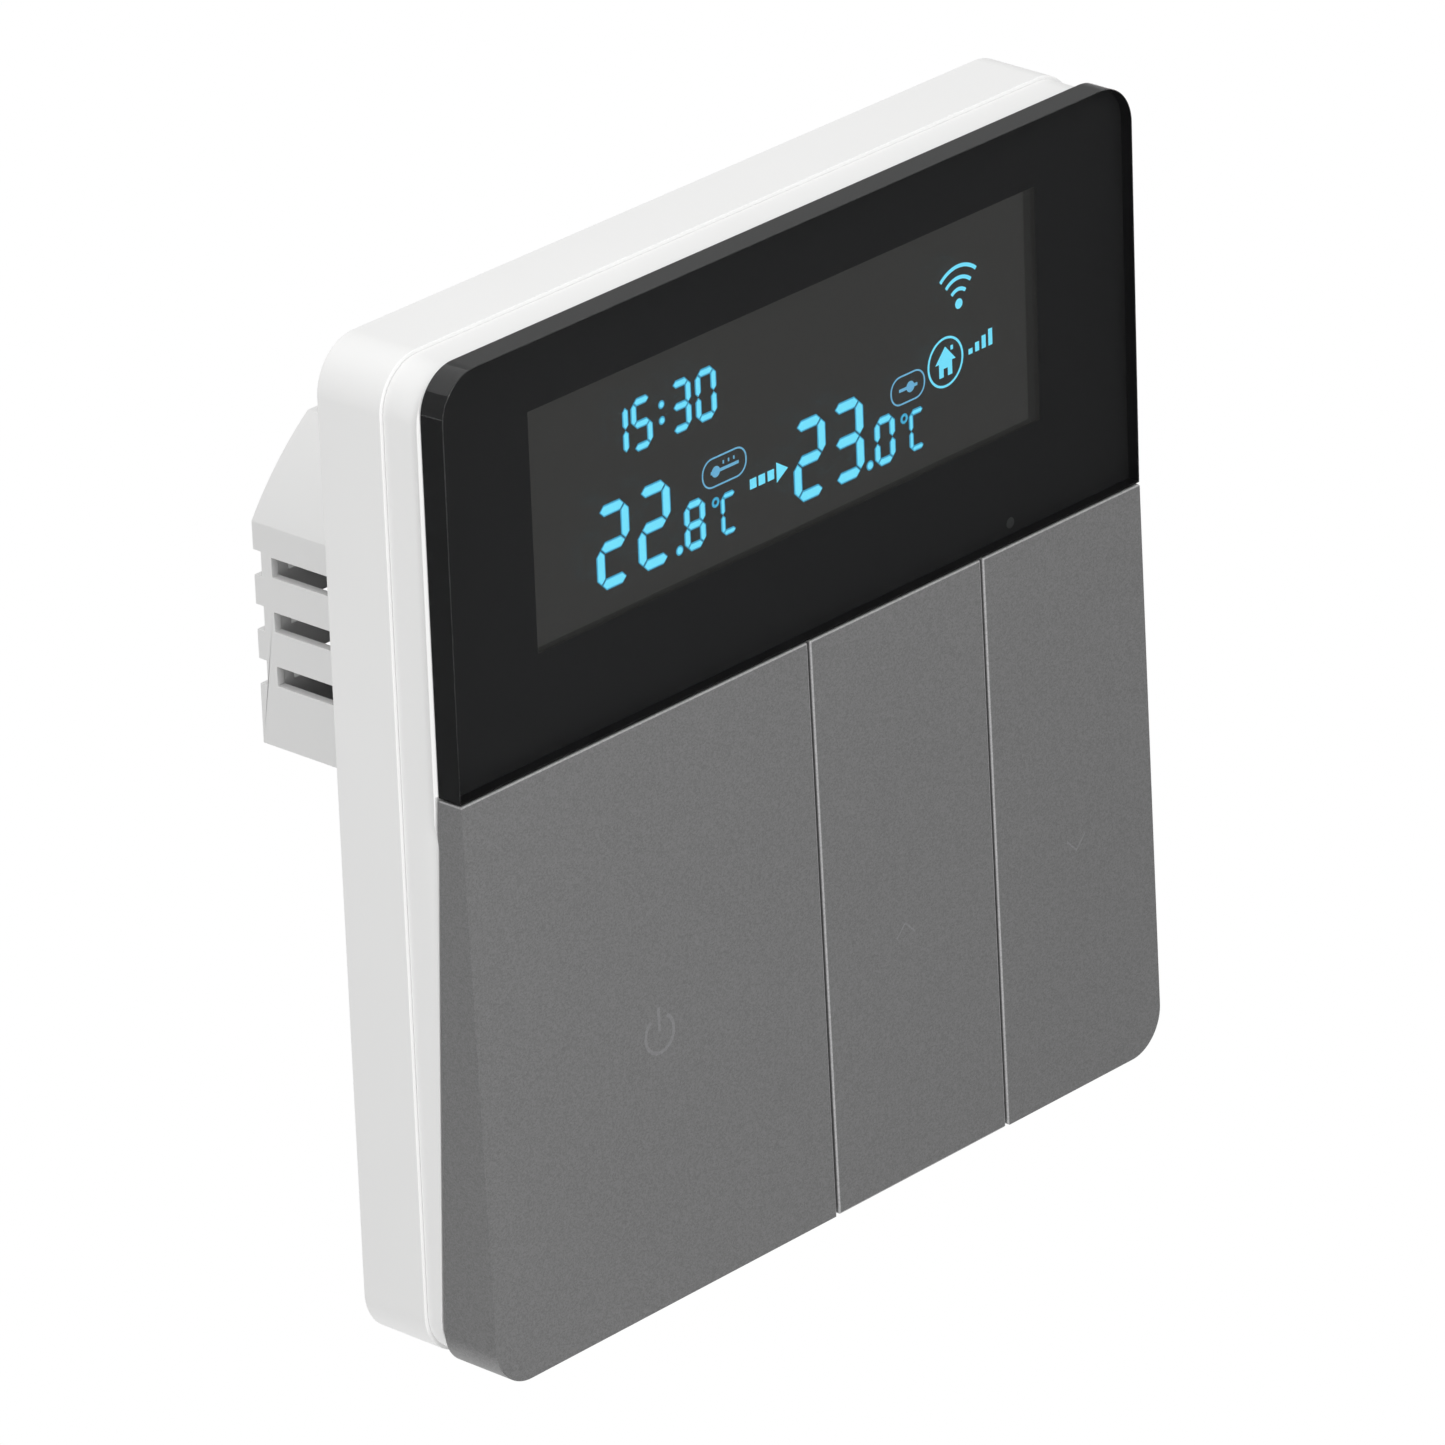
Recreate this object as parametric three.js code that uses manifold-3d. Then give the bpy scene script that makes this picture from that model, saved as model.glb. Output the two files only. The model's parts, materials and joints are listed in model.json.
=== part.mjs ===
// Wall thermostat: a glass and key front that unclips from a rear module with a wall-box housing.
// Millimetres. X is to the right seen from the room, Y goes into the wall, Z is up.
// The origin is the centre of the wall plane: the face side is at -Y, the wall-box side at +Y.
import * as THREE from "three";
import { mergeVertices } from "three/addons/utils/BufferGeometryUtils.js";
import Module from "manifold-3d";

// ---------------------------------------------------------------- driving dimensions

const FACE = { w: 86, h: 91.5, r: 4 }; // outline of the glass and keys together
const BODY = { w: 86.4, h: 91, r: 4.6 }; // outline of the rear tray
const COVER = { w: 85.8, h: 90.4, r: 4.3 }; // outline of the front cover
const WALL_T = 2; // tray wall
const FLOOR_T = 1.8; // tray floor
const RUN = 0.3; // running clearance between pieces

const PARTING_Y = -7.1; // where the front cover meets the rear tray
const GLASS_BACK_Y = -11.5;
const GLASS_FRONT_Y = -14;
const COVER_FRONT_Y = -11.3;
const RIM_PROFILE = [
  // [Y, inset] down the cover's outer wall: it draws in a little, then a fine lip stands out behind the glass
  [PARTING_Y, 0],
  [-9.6, 0.02],
  [-10.2, 0.06],
  [-10.7, 0.14],
  [-10.95, 0.16],
  [-11.05, -0.24],
  [-11.2, -0.28],
  [GLASS_BACK_Y + 0.06, -0.1],
];

const KEY_TOP_Z = 8;
const GLASS_BOTTOM_Z = 8.2;
const KEY_BULGE = 1.2; // how much further forward the keys stand at their foot
const KEY_BACK_RISE = 2.5; // how much further back the keys' skirt reaches at its foot
const KEY_SPLITS = [-0.2, 22.05]; // X of the two gaps between the three keys
const KEY_GAP = 0.3;
const KEY_PLATE_T = 1.6;
const KEY_SKIRT_T = 1;
const KEY_TRAVEL_GAP = 0.48; // room behind the skirt's foot for the key's travel

const PIVOT = { y: -10.7, z: 5, r: 0.7 }; // the keys' hinge line
const PRESS_Z = -28; // height of the key posts and tact switches

const BOX = { r: 31.3, halfW: 26, top: 25.2, bottom: -3.2, back: 26, t: 0.9, backT: 2 }; // enters the wall box
const VENT_Z = [13.65, 8.6, 3.55];
const VENT_H = 1.8; // height of the window in the side wall
const NOTCH = { h: 2.3, depth: 0.9, inner: 15 }; // groove that carries each vent round onto the back
const MOUNT_SLOT = { x: 30, w: 6.8, h: 4.8 };

const BOARD = { front: -8.4, back: -7.2, halfW: 39.4, bottom: -41.7, top: 41.7 }; // display board
const POWER = { front: -3.6, back: -2, halfW: 25.6, bottom: -20.5, top: 27.5 }; // power board
const TRANSFORMER = { x: 12.5, z: 7 };
const CAPACITOR = { x: -12.2, z: 19.8, r: 4 }; // bulk capacitor
const DECK = { front: -9.6, back: -8.6 }; // plate in the cover that carries the keys
const INNER_COVER = { front: -4.9, back: -3.9 };

const LCD = { halfW: 34.5, halfH: 13, z: 28.05 };
const HOLDER_T = 1.35; // wall of the frame around the display

const TERMINALS = 6;
const TERMINAL_PITCH = 7.5;
const TERMINAL_Z = -13;

// ---------------------------------------------------------------- materials

function finish(color, roughness, metalness = 0) {
  return new THREE.MeshStandardMaterial({ color, roughness, metalness });
}

const whitePlastic = finish(0xf2f2f0, 0.35);
const greyKeys = finish(0x6b6b6b, 0.45, 0.3);
const blackGlass = finish(0x0d0e0f, 0.08);
const blackTape = finish(0x151515, 0.9);
const lcdGlass = finish(0x1d2022, 0.15);
const clearAcrylic = finish(0xdfe8ee, 0.2);
const greenBoard = finish(0x1f6b3a, 0.45);
const blackPlastic = finish(0x1b1b1c, 0.5);
const steel = finish(0xb9bcc0, 0.3, 1);
const brass = finish(0xc9a24e, 0.35, 1);
const relayCase = finish(0x2b2c2e, 0.4);
const ferrite = finish(0x3a3a3c, 0.7);
const yellowTape = finish(0xe6c540, 0.5);
const capacitorSleeve = finish(0x222a44, 0.4);
const blueCoating = finish(0x2f6fc4, 0.5);
const ceramic = finish(0xe8e2d4, 0.6);
const greyNylon = finish(0xd4d6d6, 0.5);

// ---------------------------------------------------------------- solid helpers

const wasm = await Module();
wasm.setup();

/** A closed three.js geometry as a manifold-3d solid. */
function solid(geometry) {
  const bare = geometry.clone();
  bare.deleteAttribute("normal");
  bare.deleteAttribute("uv");
  const merged = mergeVertices(bare, 1e-4);
  return new wasm.Manifold(
    new wasm.Mesh({
      numProp: 3,
      vertProperties: merged.attributes.position.array,
      triVerts: new Uint32Array(merged.index.array),
    }),
  );
}

/** A block between two corners. */
function block(x0, x1, y0, y1, z0, z1) {
  const geometry = new THREE.BoxGeometry(x1 - x0, y1 - y0, z1 - z0);
  geometry.translate((x0 + x1) / 2, (y0 + y1) / 2, (z0 + z1) / 2);
  return solid(geometry);
}

/** A round bar along "x", "y" or "z" from one station to another, centred on the other two coordinates. */
function bar(axis, radius, from, to, a, b, segments = 16) {
  const geometry = new THREE.CylinderGeometry(radius, radius, to - from, segments);
  const middle = (from + to) / 2;
  if (axis === "x") geometry.rotateZ(Math.PI / 2).translate(middle, a, b);
  if (axis === "y") geometry.translate(a, middle, b);
  if (axis === "z") geometry.rotateX(Math.PI / 2).translate(a, b, middle);
  return solid(geometry);
}

/** A shape drawn in the XZ plane, extruded along Y. */
function prismY(shape, y0, y1, curveSegments = 10) {
  const geometry = new THREE.ExtrudeGeometry(shape, { depth: y1 - y0, bevelEnabled: false, curveSegments });
  geometry.rotateX(Math.PI / 2).translate(0, y1, 0);
  return solid(geometry);
}

/** A shape drawn in the YZ plane, extruded along X. */
function prismX(shape, x0, x1) {
  const geometry = new THREE.ExtrudeGeometry(shape, { depth: x1 - x0, bevelEnabled: false });
  const turn = new THREE.Matrix4().makeBasis(
    new THREE.Vector3(0, 1, 0),
    new THREE.Vector3(0, 0, 1),
    new THREE.Vector3(1, 0, 0),
  );
  geometry.applyMatrix4(turn).translate(x0, 0, 0);
  return solid(geometry);
}

/** A closed outline through [a, b] pairs. */
function outline(points) {
  return new THREE.Shape(points.map(([a, b]) => new THREE.Vector2(a, b)));
}

/** A rectangle with a radius of its own at each corner: bottom left, bottom right, top right, top left. */
function roundedRect(x0, z0, x1, z1, radii) {
  const [bl, br, tr, tl] = Array.isArray(radii) ? radii : [radii, radii, radii, radii];
  const shape = new THREE.Shape();
  shape.moveTo(x0 + bl, z0);
  shape.lineTo(x1 - br, z0);
  if (br) shape.absarc(x1 - br, z0 + br, br, -Math.PI / 2, 0);
  shape.lineTo(x1, z1 - tr);
  if (tr) shape.absarc(x1 - tr, z1 - tr, tr, 0, Math.PI / 2);
  shape.lineTo(x0 + tl, z1);
  if (tl) shape.absarc(x0 + tl, z1 - tl, tl, Math.PI / 2, Math.PI);
  shape.lineTo(x0, z0 + bl);
  if (bl) shape.absarc(x0 + bl, z0 + bl, bl, Math.PI, Math.PI * 1.5);
  return shape;
}

/** A centred rounded rectangle, taken in by an inset on every side. */
function centredRect({ w, h, r }, inset = 0) {
  const [x, z] = [w / 2 - inset, h / 2 - inset];
  return roundedRect(-x, -z, x, z, Math.max(r - inset, 0.5));
}

/** A closed loft through a rounded rectangle that is taken in by a different inset at each Y. */
function loft(rect, profile, cornerSteps = 8) {
  const positions = [];
  const ringSize = 4 * (cornerSteps + 1);
  for (const [y, inset] of profile) {
    const r = Math.max(rect.r - inset, 0.3);
    const corners = [
      [1, 1],
      [-1, 1],
      [-1, -1],
      [1, -1],
    ];
    corners.forEach(([sx, sz], quarter) => {
      for (let i = 0; i <= cornerSteps; i++) {
        const a = (quarter + i / cornerSteps) * (Math.PI / 2);
        const x = sx * (rect.w / 2 - inset - r) + r * Math.cos(a);
        const z = sz * (rect.h / 2 - inset - r) + r * Math.sin(a);
        positions.push(x, y, z);
      }
    });
  }
  const indices = [];
  for (let k = 0; k + 1 < profile.length; k++) {
    for (let i = 0; i < ringSize; i++) {
      const j = (i + 1) % ringSize;
      const [a, b, c, d] = [k * ringSize + i, k * ringSize + j, (k + 1) * ringSize + j, (k + 1) * ringSize + i];
      indices.push(a, b, c, a, c, d);
    }
  }
  const last = (profile.length - 1) * ringSize;
  for (let i = 1; i + 1 < ringSize; i++) {
    indices.push(0, i + 1, i);
    indices.push(last, last + i, last + i + 1);
  }
  const geometry = new THREE.BufferGeometry();
  geometry.setAttribute("position", new THREE.Float32BufferAttribute(positions, 3));
  geometry.setIndex(indices);
  return solid(geometry);
}

function join(...solids) {
  return solids.reduce((a, b) => a.add(b));
}

function cut(base, ...tools) {
  return tools.reduce((a, b) => a.subtract(b), base);
}

const thermostat = new THREE.Group();

/** Adds one solid to the object as a named mesh. */
function piece(name, body, material) {
  const made = body.getMesh();
  const geometry = new THREE.BufferGeometry();
  geometry.setAttribute("position", new THREE.BufferAttribute(new Float32Array(made.vertProperties), 3));
  geometry.setIndex(new THREE.BufferAttribute(new Uint32Array(made.triVerts), 1));
  const mesh = new THREE.Mesh(geometry, material);
  mesh.name = name;
  thermostat.add(mesh);
}

// ---------------------------------------------------------------- rear housing

/** The outline of the part that enters the wall box: a circle with flat sides, a flat top and a flat foot. */
function boxOutline(inset) {
  const r = BOX.r - inset;
  const x = BOX.halfW - inset;
  const start = Math.acos(x / r);
  const end = Math.asin((BOX.top - inset) / r);
  const shape = new THREE.Shape();
  shape.moveTo(-x, BOX.bottom + inset);
  shape.lineTo(x, BOX.bottom + inset);
  shape.lineTo(x, r * Math.sin(start));
  shape.absarc(0, 0, r, start, end);
  shape.absarc(0, 0, r, Math.PI - end, Math.PI - start);
  shape.lineTo(-x, BOX.bottom + inset);
  return shape;
}

const INNER_SCREWS = [
  [-29.5, 25.5],
  [29.5, 25.5],
  [-29.5, -21],
  [29.5, -21],
];

/** Vent slots through both sides of the box, each wrapping round onto its back as a shallow groove. */
function ventCuts() {
  const notchY = BOX.back - NOTCH.depth;
  const cuts = [];
  for (const z of VENT_Z) {
    for (const side of [-1, 1]) {
      const reach = (near, far) => (side < 0 ? [-far, -near] : [near, far]);
      const window = [z - VENT_H / 2, z + VENT_H / 2];
      const groove = [z - NOTCH.h / 2, z + NOTCH.h / 2];
      cuts.push(block(...reach(BOX.halfW - 3, BOX.halfW + 1), 3, notchY - 1.2, ...window));
      cuts.push(block(...reach(NOTCH.inner, BOX.halfW + 1), notchY, BOX.back + 1, ...groove));
      cuts.push(block(...reach(NOTCH.inner, BOX.halfW - 2.2), BOX.back - 3, BOX.back + 1, ...window));
    }
  }
  return cuts;
}

function buildRearHousing() {
  const tray = prismY(centredRect(BODY), PARTING_Y, 0);
  const box = prismY(boxOutline(0), -FLOOR_T / 2, BOX.back, 8);
  const cheeks = [-1, 1].map((side) =>
    block(...(side < 0 ? [-25, -23.4] : [23.4, 25]), -FLOOR_T / 2, 12.5, -18.5, BOX.bottom + 0.5),
  );
  const bosses = INNER_SCREWS.map(([x, z]) => bar("y", 3, INNER_COVER.back, -FLOOR_T / 2, x, z));
  const hollow = prismY(centredRect(BODY, WALL_T), PARTING_Y - 1, -FLOOR_T);
  const boxHollow = prismY(boxOutline(BOX.t), -3, BOX.back - BOX.backT, 8);
  const shell = join(cut(tray, hollow), box, ...cheeks, ...bosses);
  const slots = [-1, 1].map((side) => {
    const [x0, x1] = [side * MOUNT_SLOT.x - MOUNT_SLOT.w / 2, side * MOUNT_SLOT.x + MOUNT_SLOT.w / 2];
    return prismY(roundedRect(x0, -MOUNT_SLOT.h / 2, x1, MOUNT_SLOT.h / 2, MOUNT_SLOT.h / 2 - 0.01), -3, 1, 5);
  });
  const pilots = INNER_SCREWS.map(([x, z]) => bar("y", 1.3, -5, -0.6, x, z, 12));
  const terminalWindow = block(-22.9, 22.9, -3, 1, -19.9, -5.1);
  const snapGrooves = SNAPS.map(([x, side]) => {
    const inner = BODY.h / 2 - WALL_T;
    const [z0, z1] = side > 0 ? [inner - 0.5, inner + 0.6] : [-inner - 0.6, -inner + 0.5];
    return block(x - 5, x + 5, PARTING_Y - 1, -3.4, z0, z1);
  });
  const airSlots = [0, 1, 2, 3, 4, 5].map((i) => {
    const x = 22 + i * 2.6;
    return block(x, x + 1.2, -5.6, -2.6, -BODY.h / 2 - 1, -BODY.h / 2 + WALL_T + 1);
  });
  const prySlot = block(-4.5, 4.5, PARTING_Y - 1, PARTING_Y + 1, -BODY.h / 2 - 1, -BODY.h / 2 + 1.2);
  const cuts = [boxHollow, terminalWindow, prySlot, ...slots, ...pilots, ...snapGrooves, ...airSlots];
  piece("rear_housing", cut(shell, ...cuts, ...ventCuts()), whitePlastic);
}

// ---------------------------------------------------------------- rear module: boards and power parts

function buildInnerCover() {
  const plate = block(-32.8, 32.8, INNER_COVER.front, INNER_COVER.back, -24.6, 29.1);
  const notches = [-1, 1].map((side) =>
    block(...(side < 0 ? [-34, -26] : [26, 34]), INNER_COVER.front - 1, INNER_COVER.back + 1, -7, 7),
  );
  const socketWindow = block(-11, 11, INNER_COVER.front - 1, INNER_COVER.back + 1, -10, -6.2);
  const holes = INNER_SCREWS.map(([x, z]) =>
    bar("y", 1.3, INNER_COVER.front - 1, INNER_COVER.back + 1, x, z, 12),
  );
  piece("inner_cover", cut(plate, socketWindow, ...notches, ...holes), whitePlastic);
}

/** A pan-head screw along Y: its head is at the front, with a cross recess. */
function panScrew(x, z, headFront, headT, headR, shankR, tip) {
  const head = bar("y", headR, headFront, headFront + headT, x, z, 16);
  const shank = bar("y", shankR, headFront + headT / 2, tip, x, z, 10);
  const depth = headFront + headT * 0.5;
  const crossA = block(x - headR * 0.6, x + headR * 0.6, headFront - 1, depth, z - 0.3, z + 0.3);
  const crossB = block(x - 0.3, x + 0.3, headFront - 1, depth, z - headR * 0.6, z + headR * 0.6);
  return cut(join(head, shank), crossA, crossB);
}

function buildInnerScrews() {
  INNER_SCREWS.forEach(([x, z], i) => {
    piece(`housing_screw_${i + 1}`, panScrew(x, z, INNER_COVER.front - 1, 1, 2.1, 1, -1), steel);
  });
}

function buildPowerBoard() {
  const board = block(-POWER.halfW, POWER.halfW, POWER.front, POWER.back, POWER.bottom, POWER.top);
  piece("power_board", board, greenBoard);

  const seat = POWER.back + 0.1; // component bodies stand just off the board
  piece("relay", block(-24.3, -3.3, seat, 18.6, -0.8, 15.2), relayCase);

  const { x, z } = TRANSFORMER;
  const limbs = block(x - 7, x + 7, seat + 3, 13, z - 4.8, z + 4.8);
  const windows = [-5, 2].map((dx) => block(x + dx, x + dx + 3, seat, 14, z - 2.4, z + 2.4));
  piece("transformer_core", cut(limbs, ...windows), ferrite);
  const feet = block(x - 8, x + 8, seat, seat + 2.7, z - 7, z + 7);
  const coils = [-4.7, 2.3].map((dx) => block(x + dx, x + dx + 2.4, seat + 2, 12.4, z - 2.1, z + 2.1));
  piece("transformer_bobbin", join(feet, ...coils), yellowTape);

  const can = bar("y", CAPACITOR.r, seat, 14.5, CAPACITOR.x, CAPACITOR.z, 24);
  const canVent = block(CAPACITOR.x - 3, CAPACITOR.x + 3, 14.1, 15, CAPACITOR.z - 0.2, CAPACITOR.z + 0.2);
  piece("bulk_capacitor", cut(can, canVent), capacitorSleeve);
  piece("x_capacitor", block(-4, 9, seat, 10, 17, 23), yellowTape);
  const disc = bar("x", 3.8, 12.5, 15.7, 3.6, 19.3, 20);
  const discLegs = [13.1, 14.7].map((x) => block(x, x + 0.5, seat, 1, 17, 21.6));
  piece("varistor", join(disc, ...discLegs), blueCoating);
  piece("fuse", bar("z", 2, 1.5, 12.5, -0.8, 0.5, 16), ceramic);
}

/** The connector between the two boards: pins on the display board, sleeves on the power board. */
function buildBoardConnector() {
  const pinX = Array.from({ length: 8 }, (_, i) => (i - 3.5) * 2.54);
  const z = -8.1;
  const base = block(-10.2, 10.2, BOARD.back, -5.9, z - 1.2, z + 1.2);
  const pins = pinX.map((x) => block(x - 0.3, x + 0.3, -6.2, -3.95, z - 0.3, z + 0.3));
  piece("pin_header", join(base, ...pins), blackPlastic);
  const socket = block(-10.4, 10.4, -5.6, POWER.front, z - 1.4, z + 1.4);
  const sleeves = pinX.map((x) => block(x - 0.6, x + 0.6, -6, -3.65, z - 0.6, z + 0.6));
  piece("header_socket", cut(socket, ...sleeves), blackPlastic);
}

// ---------------------------------------------------------------- rear module: rising-cage terminals

const TERMINAL = {
  back: 13.4, // rear face of the block, where the screw wells open
  bottom: -19.5, // wire side of the block
  top: -5.5,
  shelf: [10.6, 11.2], // web that keeps each screw in its well
  cage: { halfW: 2.6, wall: 0.6, front: 0.8, back: 8, halfZ: 2.5 },
  contact: [4.7, 5.7], // fixed bar that the wire is pressed against
  rise: 2.3, // travel of the cage
};

function terminalX(i) {
  return (i - (TERMINALS - 1) / 2) * TERMINAL_PITCH;
}

function buildTerminalBlock() {
  const halfW = (TERMINALS * TERMINAL_PITCH) / 2;
  const body = block(-halfW, halfW, POWER.back, TERMINAL.back, TERMINAL.bottom, TERMINAL.top);
  const cuts = [];
  const { halfW: cageW, front, halfZ } = TERMINAL.cage;
  for (let i = 0; i < TERMINALS; i++) {
    const x = terminalX(i);
    const z = TERMINAL_Z;
    const shaft = [front - RUN, TERMINAL.shelf[0]];
    cuts.push(block(x - cageW - RUN, x + cageW + RUN, ...shaft, z - halfZ - RUN, z + halfZ + RUN));
    cuts.push(block(x - 1.9, x + 1.9, 1.3, 4.9, TERMINAL.bottom - 1, z)); // wire entry
    cuts.push(block(x - 1.9, x + 1.9, 4.4, 6, z, TERMINAL.top - 2)); // seat of the contact bar
    cuts.push(block(x - 1.1, x + 1.1, POWER.back - 1, 6, TERMINAL.top - 4, TERMINAL.top - 2)); // contact leg
    cuts.push(bar("y", 1.8, TERMINAL.shelf[0] - 1, TERMINAL.back, x, z, 10));
    cuts.push(bar("y", 2.95, TERMINAL.shelf[1], TERMINAL.back + 1, x, z, 16));
  }
  for (let i = 1; i < TERMINALS; i++) {
    const x = terminalX(i) - TERMINAL_PITCH / 2;
    cuts.push(block(x - 0.4, x + 0.4, 9.5, TERMINAL.back + 1, TERMINAL.bottom - 1, -18)); // creepage slots
  }
  piece("terminal_block", cut(body, ...cuts), greyNylon);
}

function buildTerminal(i) {
  const x = terminalX(i);
  const z = TERMINAL_Z;
  const { halfW, wall, front, back, halfZ } = TERMINAL.cage;
  const number = i + 1;

  const head = bar("y", 2.6, 11.4, 12.9, x, z, 18);
  const shank = bar("y", 1.45, 6, 12, x, z, 12);
  const slot = block(x - 3, x + 3, 12.1, 14, z - 0.35, z + 0.35);
  piece(`terminal_screw_${number}`, cut(join(head, shank), slot), steel);

  const cage = block(x - halfW, x + halfW, front, back, z - halfZ, z + halfZ);
  const mouth = block(x - halfW + wall, x + halfW - wall, front + 0.8, back - 1, z - 4, z + 4);
  const thread = bar("y", 1.75, back - 2, back + 1, x, z, 12);
  piece(`terminal_cage_${number}`, cut(cage, mouth, thread), brass);

  const contact = block(x - 1.6, x + 1.6, ...TERMINAL.contact, z - halfZ, TERMINAL.top - 2.3);
  const leg = block(x - 0.8, x + 0.8, POWER.back + 0.1, TERMINAL.contact[0] + 0.5, TERMINAL.top - 3.3, TERMINAL.top - 2.3);
  piece(`terminal_bar_${number}`, join(contact, leg), brass);
}

// ---------------------------------------------------------------- front panel: cover, glass and display

const SNAPS = [
  [-22, 1],
  [22, 1],
  [-22, -1],
  [22, -1],
]; // X of each snap arm, and whether it is at the top or the bottom

const HOLDER = {
  halfW: LCD.halfW + 0.15 + HOLDER_T,
  halfH: LCD.halfH + 0.15 + HOLDER_T,
};

const LED = { x: 27.2, z: 10 };

const BOARD_SCREWS = [
  [-34, -37],
  [36.4, -37],
  [0, 10.9],
];

const KEYS = [
  { name: "mode", x0: -FACE.w / 2, x1: KEY_SPLITS[0] - KEY_GAP / 2, arms: [-38.4, -4], bl: FACE.r, br: 0 },
  { name: "up", x0: KEY_SPLITS[0] + KEY_GAP / 2, x1: KEY_SPLITS[1] - KEY_GAP / 2, arms: [3.4, 18.4], bl: 0, br: 0 },
  { name: "down", x0: KEY_SPLITS[1] + KEY_GAP / 2, x1: FACE.w / 2, arms: [25.4, 38.4], bl: 0, br: FACE.r },
];

/** The middle of a key's width, where its post and its tact switch are. */
function pressX(key) {
  return (key.x0 + key.x1) / 2;
}

/** Y of the slanted line that the keys' skirt ends on, at a height z. */
function skirtBackY(z) {
  return GLASS_BACK_Y + (KEY_BACK_RISE * (KEY_TOP_Z - z)) / (KEY_TOP_Z + FACE.h / 2);
}

/** Y of the keys' front face at a height z. */
function keyFrontY(z) {
  return GLASS_FRONT_Y - (KEY_BULGE * (KEY_TOP_Z - z)) / (KEY_TOP_Z + FACE.h / 2);
}

function buildFrontCover() {
  const foot = -FACE.h / 2;
  const top = COVER.h / 2;
  const neckX = FACE.w / 2 - KEY_SKIRT_T - 0.4; // bay wall that stands inside the keys' skirt
  const neckFoot = foot + 1.2 + 0.4;

  const rim = loft(COVER, RIM_PROFILE);
  const lip = prismY(centredRect(BODY, WALL_T + 0.25), DECK.back, -5.6);
  const hollow = prismY(centredRect(COVER, 1.6), -20, DECK.front);
  const hollowBack = prismY(centredRect(BODY, WALL_T + 1.45), DECK.back, -4);
  const deck = prismY(centredRect(COVER, 1.3), DECK.front, DECK.back);

  // The outer wall of the key bay is cut back on a slant, behind the keys' skirt.
  const slant = outline([
    [-20, GLASS_BOTTOM_Z],
    [GLASS_BACK_Y + RUN, GLASS_BOTTOM_Z],
    [skirtBackY(foot) + KEY_TRAVEL_GAP, foot],
    [skirtBackY(foot) + KEY_TRAVEL_GAP, foot - 2],
    [-20, foot - 2],
  ]);
  const slantCut = prismX(slant, -50, 50);
  const wall = cut(join(rim, lip), hollow, hollowBack, slantCut);
  const bayOuter = roundedRect(-neckX, neckFoot, neckX, GLASS_BOTTOM_Z + 0.7, [2.6, 2.6, 0, 0]);
  const bayInner = roundedRect(-neckX + 1.2, neckFoot + 1.2, neckX - 1.2, GLASS_BOTTOM_Z, [1.4, 1.4, 0, 0]);
  const bay = cut(prismY(bayOuter, -11.2, DECK.back), prismY(bayInner, -20, -5));

  const inside = prismY(centredRect(COVER, 0.8), -20, 0);
  const facePlate = block(-42, 42, COVER_FRONT_Y, -10.3, GLASS_BOTTOM_Z + 0.7, top - 0.8).intersect(inside);
  const shelf = block(-41.6, 41.6, COVER_FRONT_Y, DECK.back, GLASS_BOTTOM_Z + 0.7, GLASS_BOTTOM_Z + 1.5);
  const displayWindow = block(
    -HOLDER.halfW - RUN,
    HOLDER.halfW + RUN,
    -20,
    -5.7,
    LCD.z - HOLDER.halfH - RUN,
    LCD.z + HOLDER.halfH + RUN,
  );

  const saddles = KEYS.flatMap((key) => hingeSaddles(key));
  const bosses = BOARD_SCREWS.map(([x, z]) => bar("y", 2.2, -11.2, DECK.back, x, z, 14));
  const bossHoles = BOARD_SCREWS.map(([x, z]) => bar("y", 1.2, -10.9, DECK.back + 1, x, z, 12));
  const tactWindows = KEYS.map((key) => {
    const x = pressX(key);
    return block(x - 3.4, x + 3.4, -20, DECK.back + 0.1, PRESS_Z - 3.4, PRESS_Z + 3.4);
  });
  const ledHole = bar("y", 0.9, -12, DECK.back + 1, LED.x, LED.z, 12);
  const snaps = SNAPS.map(([x, side]) => snapArm(x, side));

  const framed = cut(join(wall, deck, facePlate, shelf), displayWindow);
  const made = join(framed, bay, ...saddles, ...bosses, ...snaps);
  piece("front_cover", cut(made, ledHole, ...bossHoles, ...tactWindows), whitePlastic);
}

/** A flexible arm that reaches back into the tray and rides in its groove. */
function snapArm(x, side) {
  const outer = BODY.h / 2 - WALL_T - 0.25;
  const [z0, z1] = side > 0 ? [outer - 1.2, outer] : [-outer, -outer + 1.2];
  const [b0, b1] = side > 0 ? [outer - 0.4, outer + 0.5] : [-outer - 0.5, -outer + 0.4];
  return join(block(x - 4, x + 4, DECK.back + 0.5, -3.7, z0, z1), block(x - 4, x + 4, -4.9, -3.7, b0, b1));
}

/** The two open saddles that a key's hinge stubs click into. */
function hingeSaddles(key) {
  return key.arms.map((x, i) => {
    const [x0, x1] = i === 0 ? [x - 1.5, x - 0.3] : [x + 0.3, x + 1.5];
    const post = block(x0, x1, -12, DECK.back, PIVOT.z - 1.4, PIVOT.z + 1.35);
    const seat = bar("x", PIVOT.r + RUN, x0 - 1, x1 + 1, PIVOT.y, PIVOT.z, 14);
    const mouth = block(x0 - 1, x1 + 1, -13, PIVOT.y, PIVOT.z - 0.65, PIVOT.z + 0.65);
    return cut(post, seat, mouth);
  });
}

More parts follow.
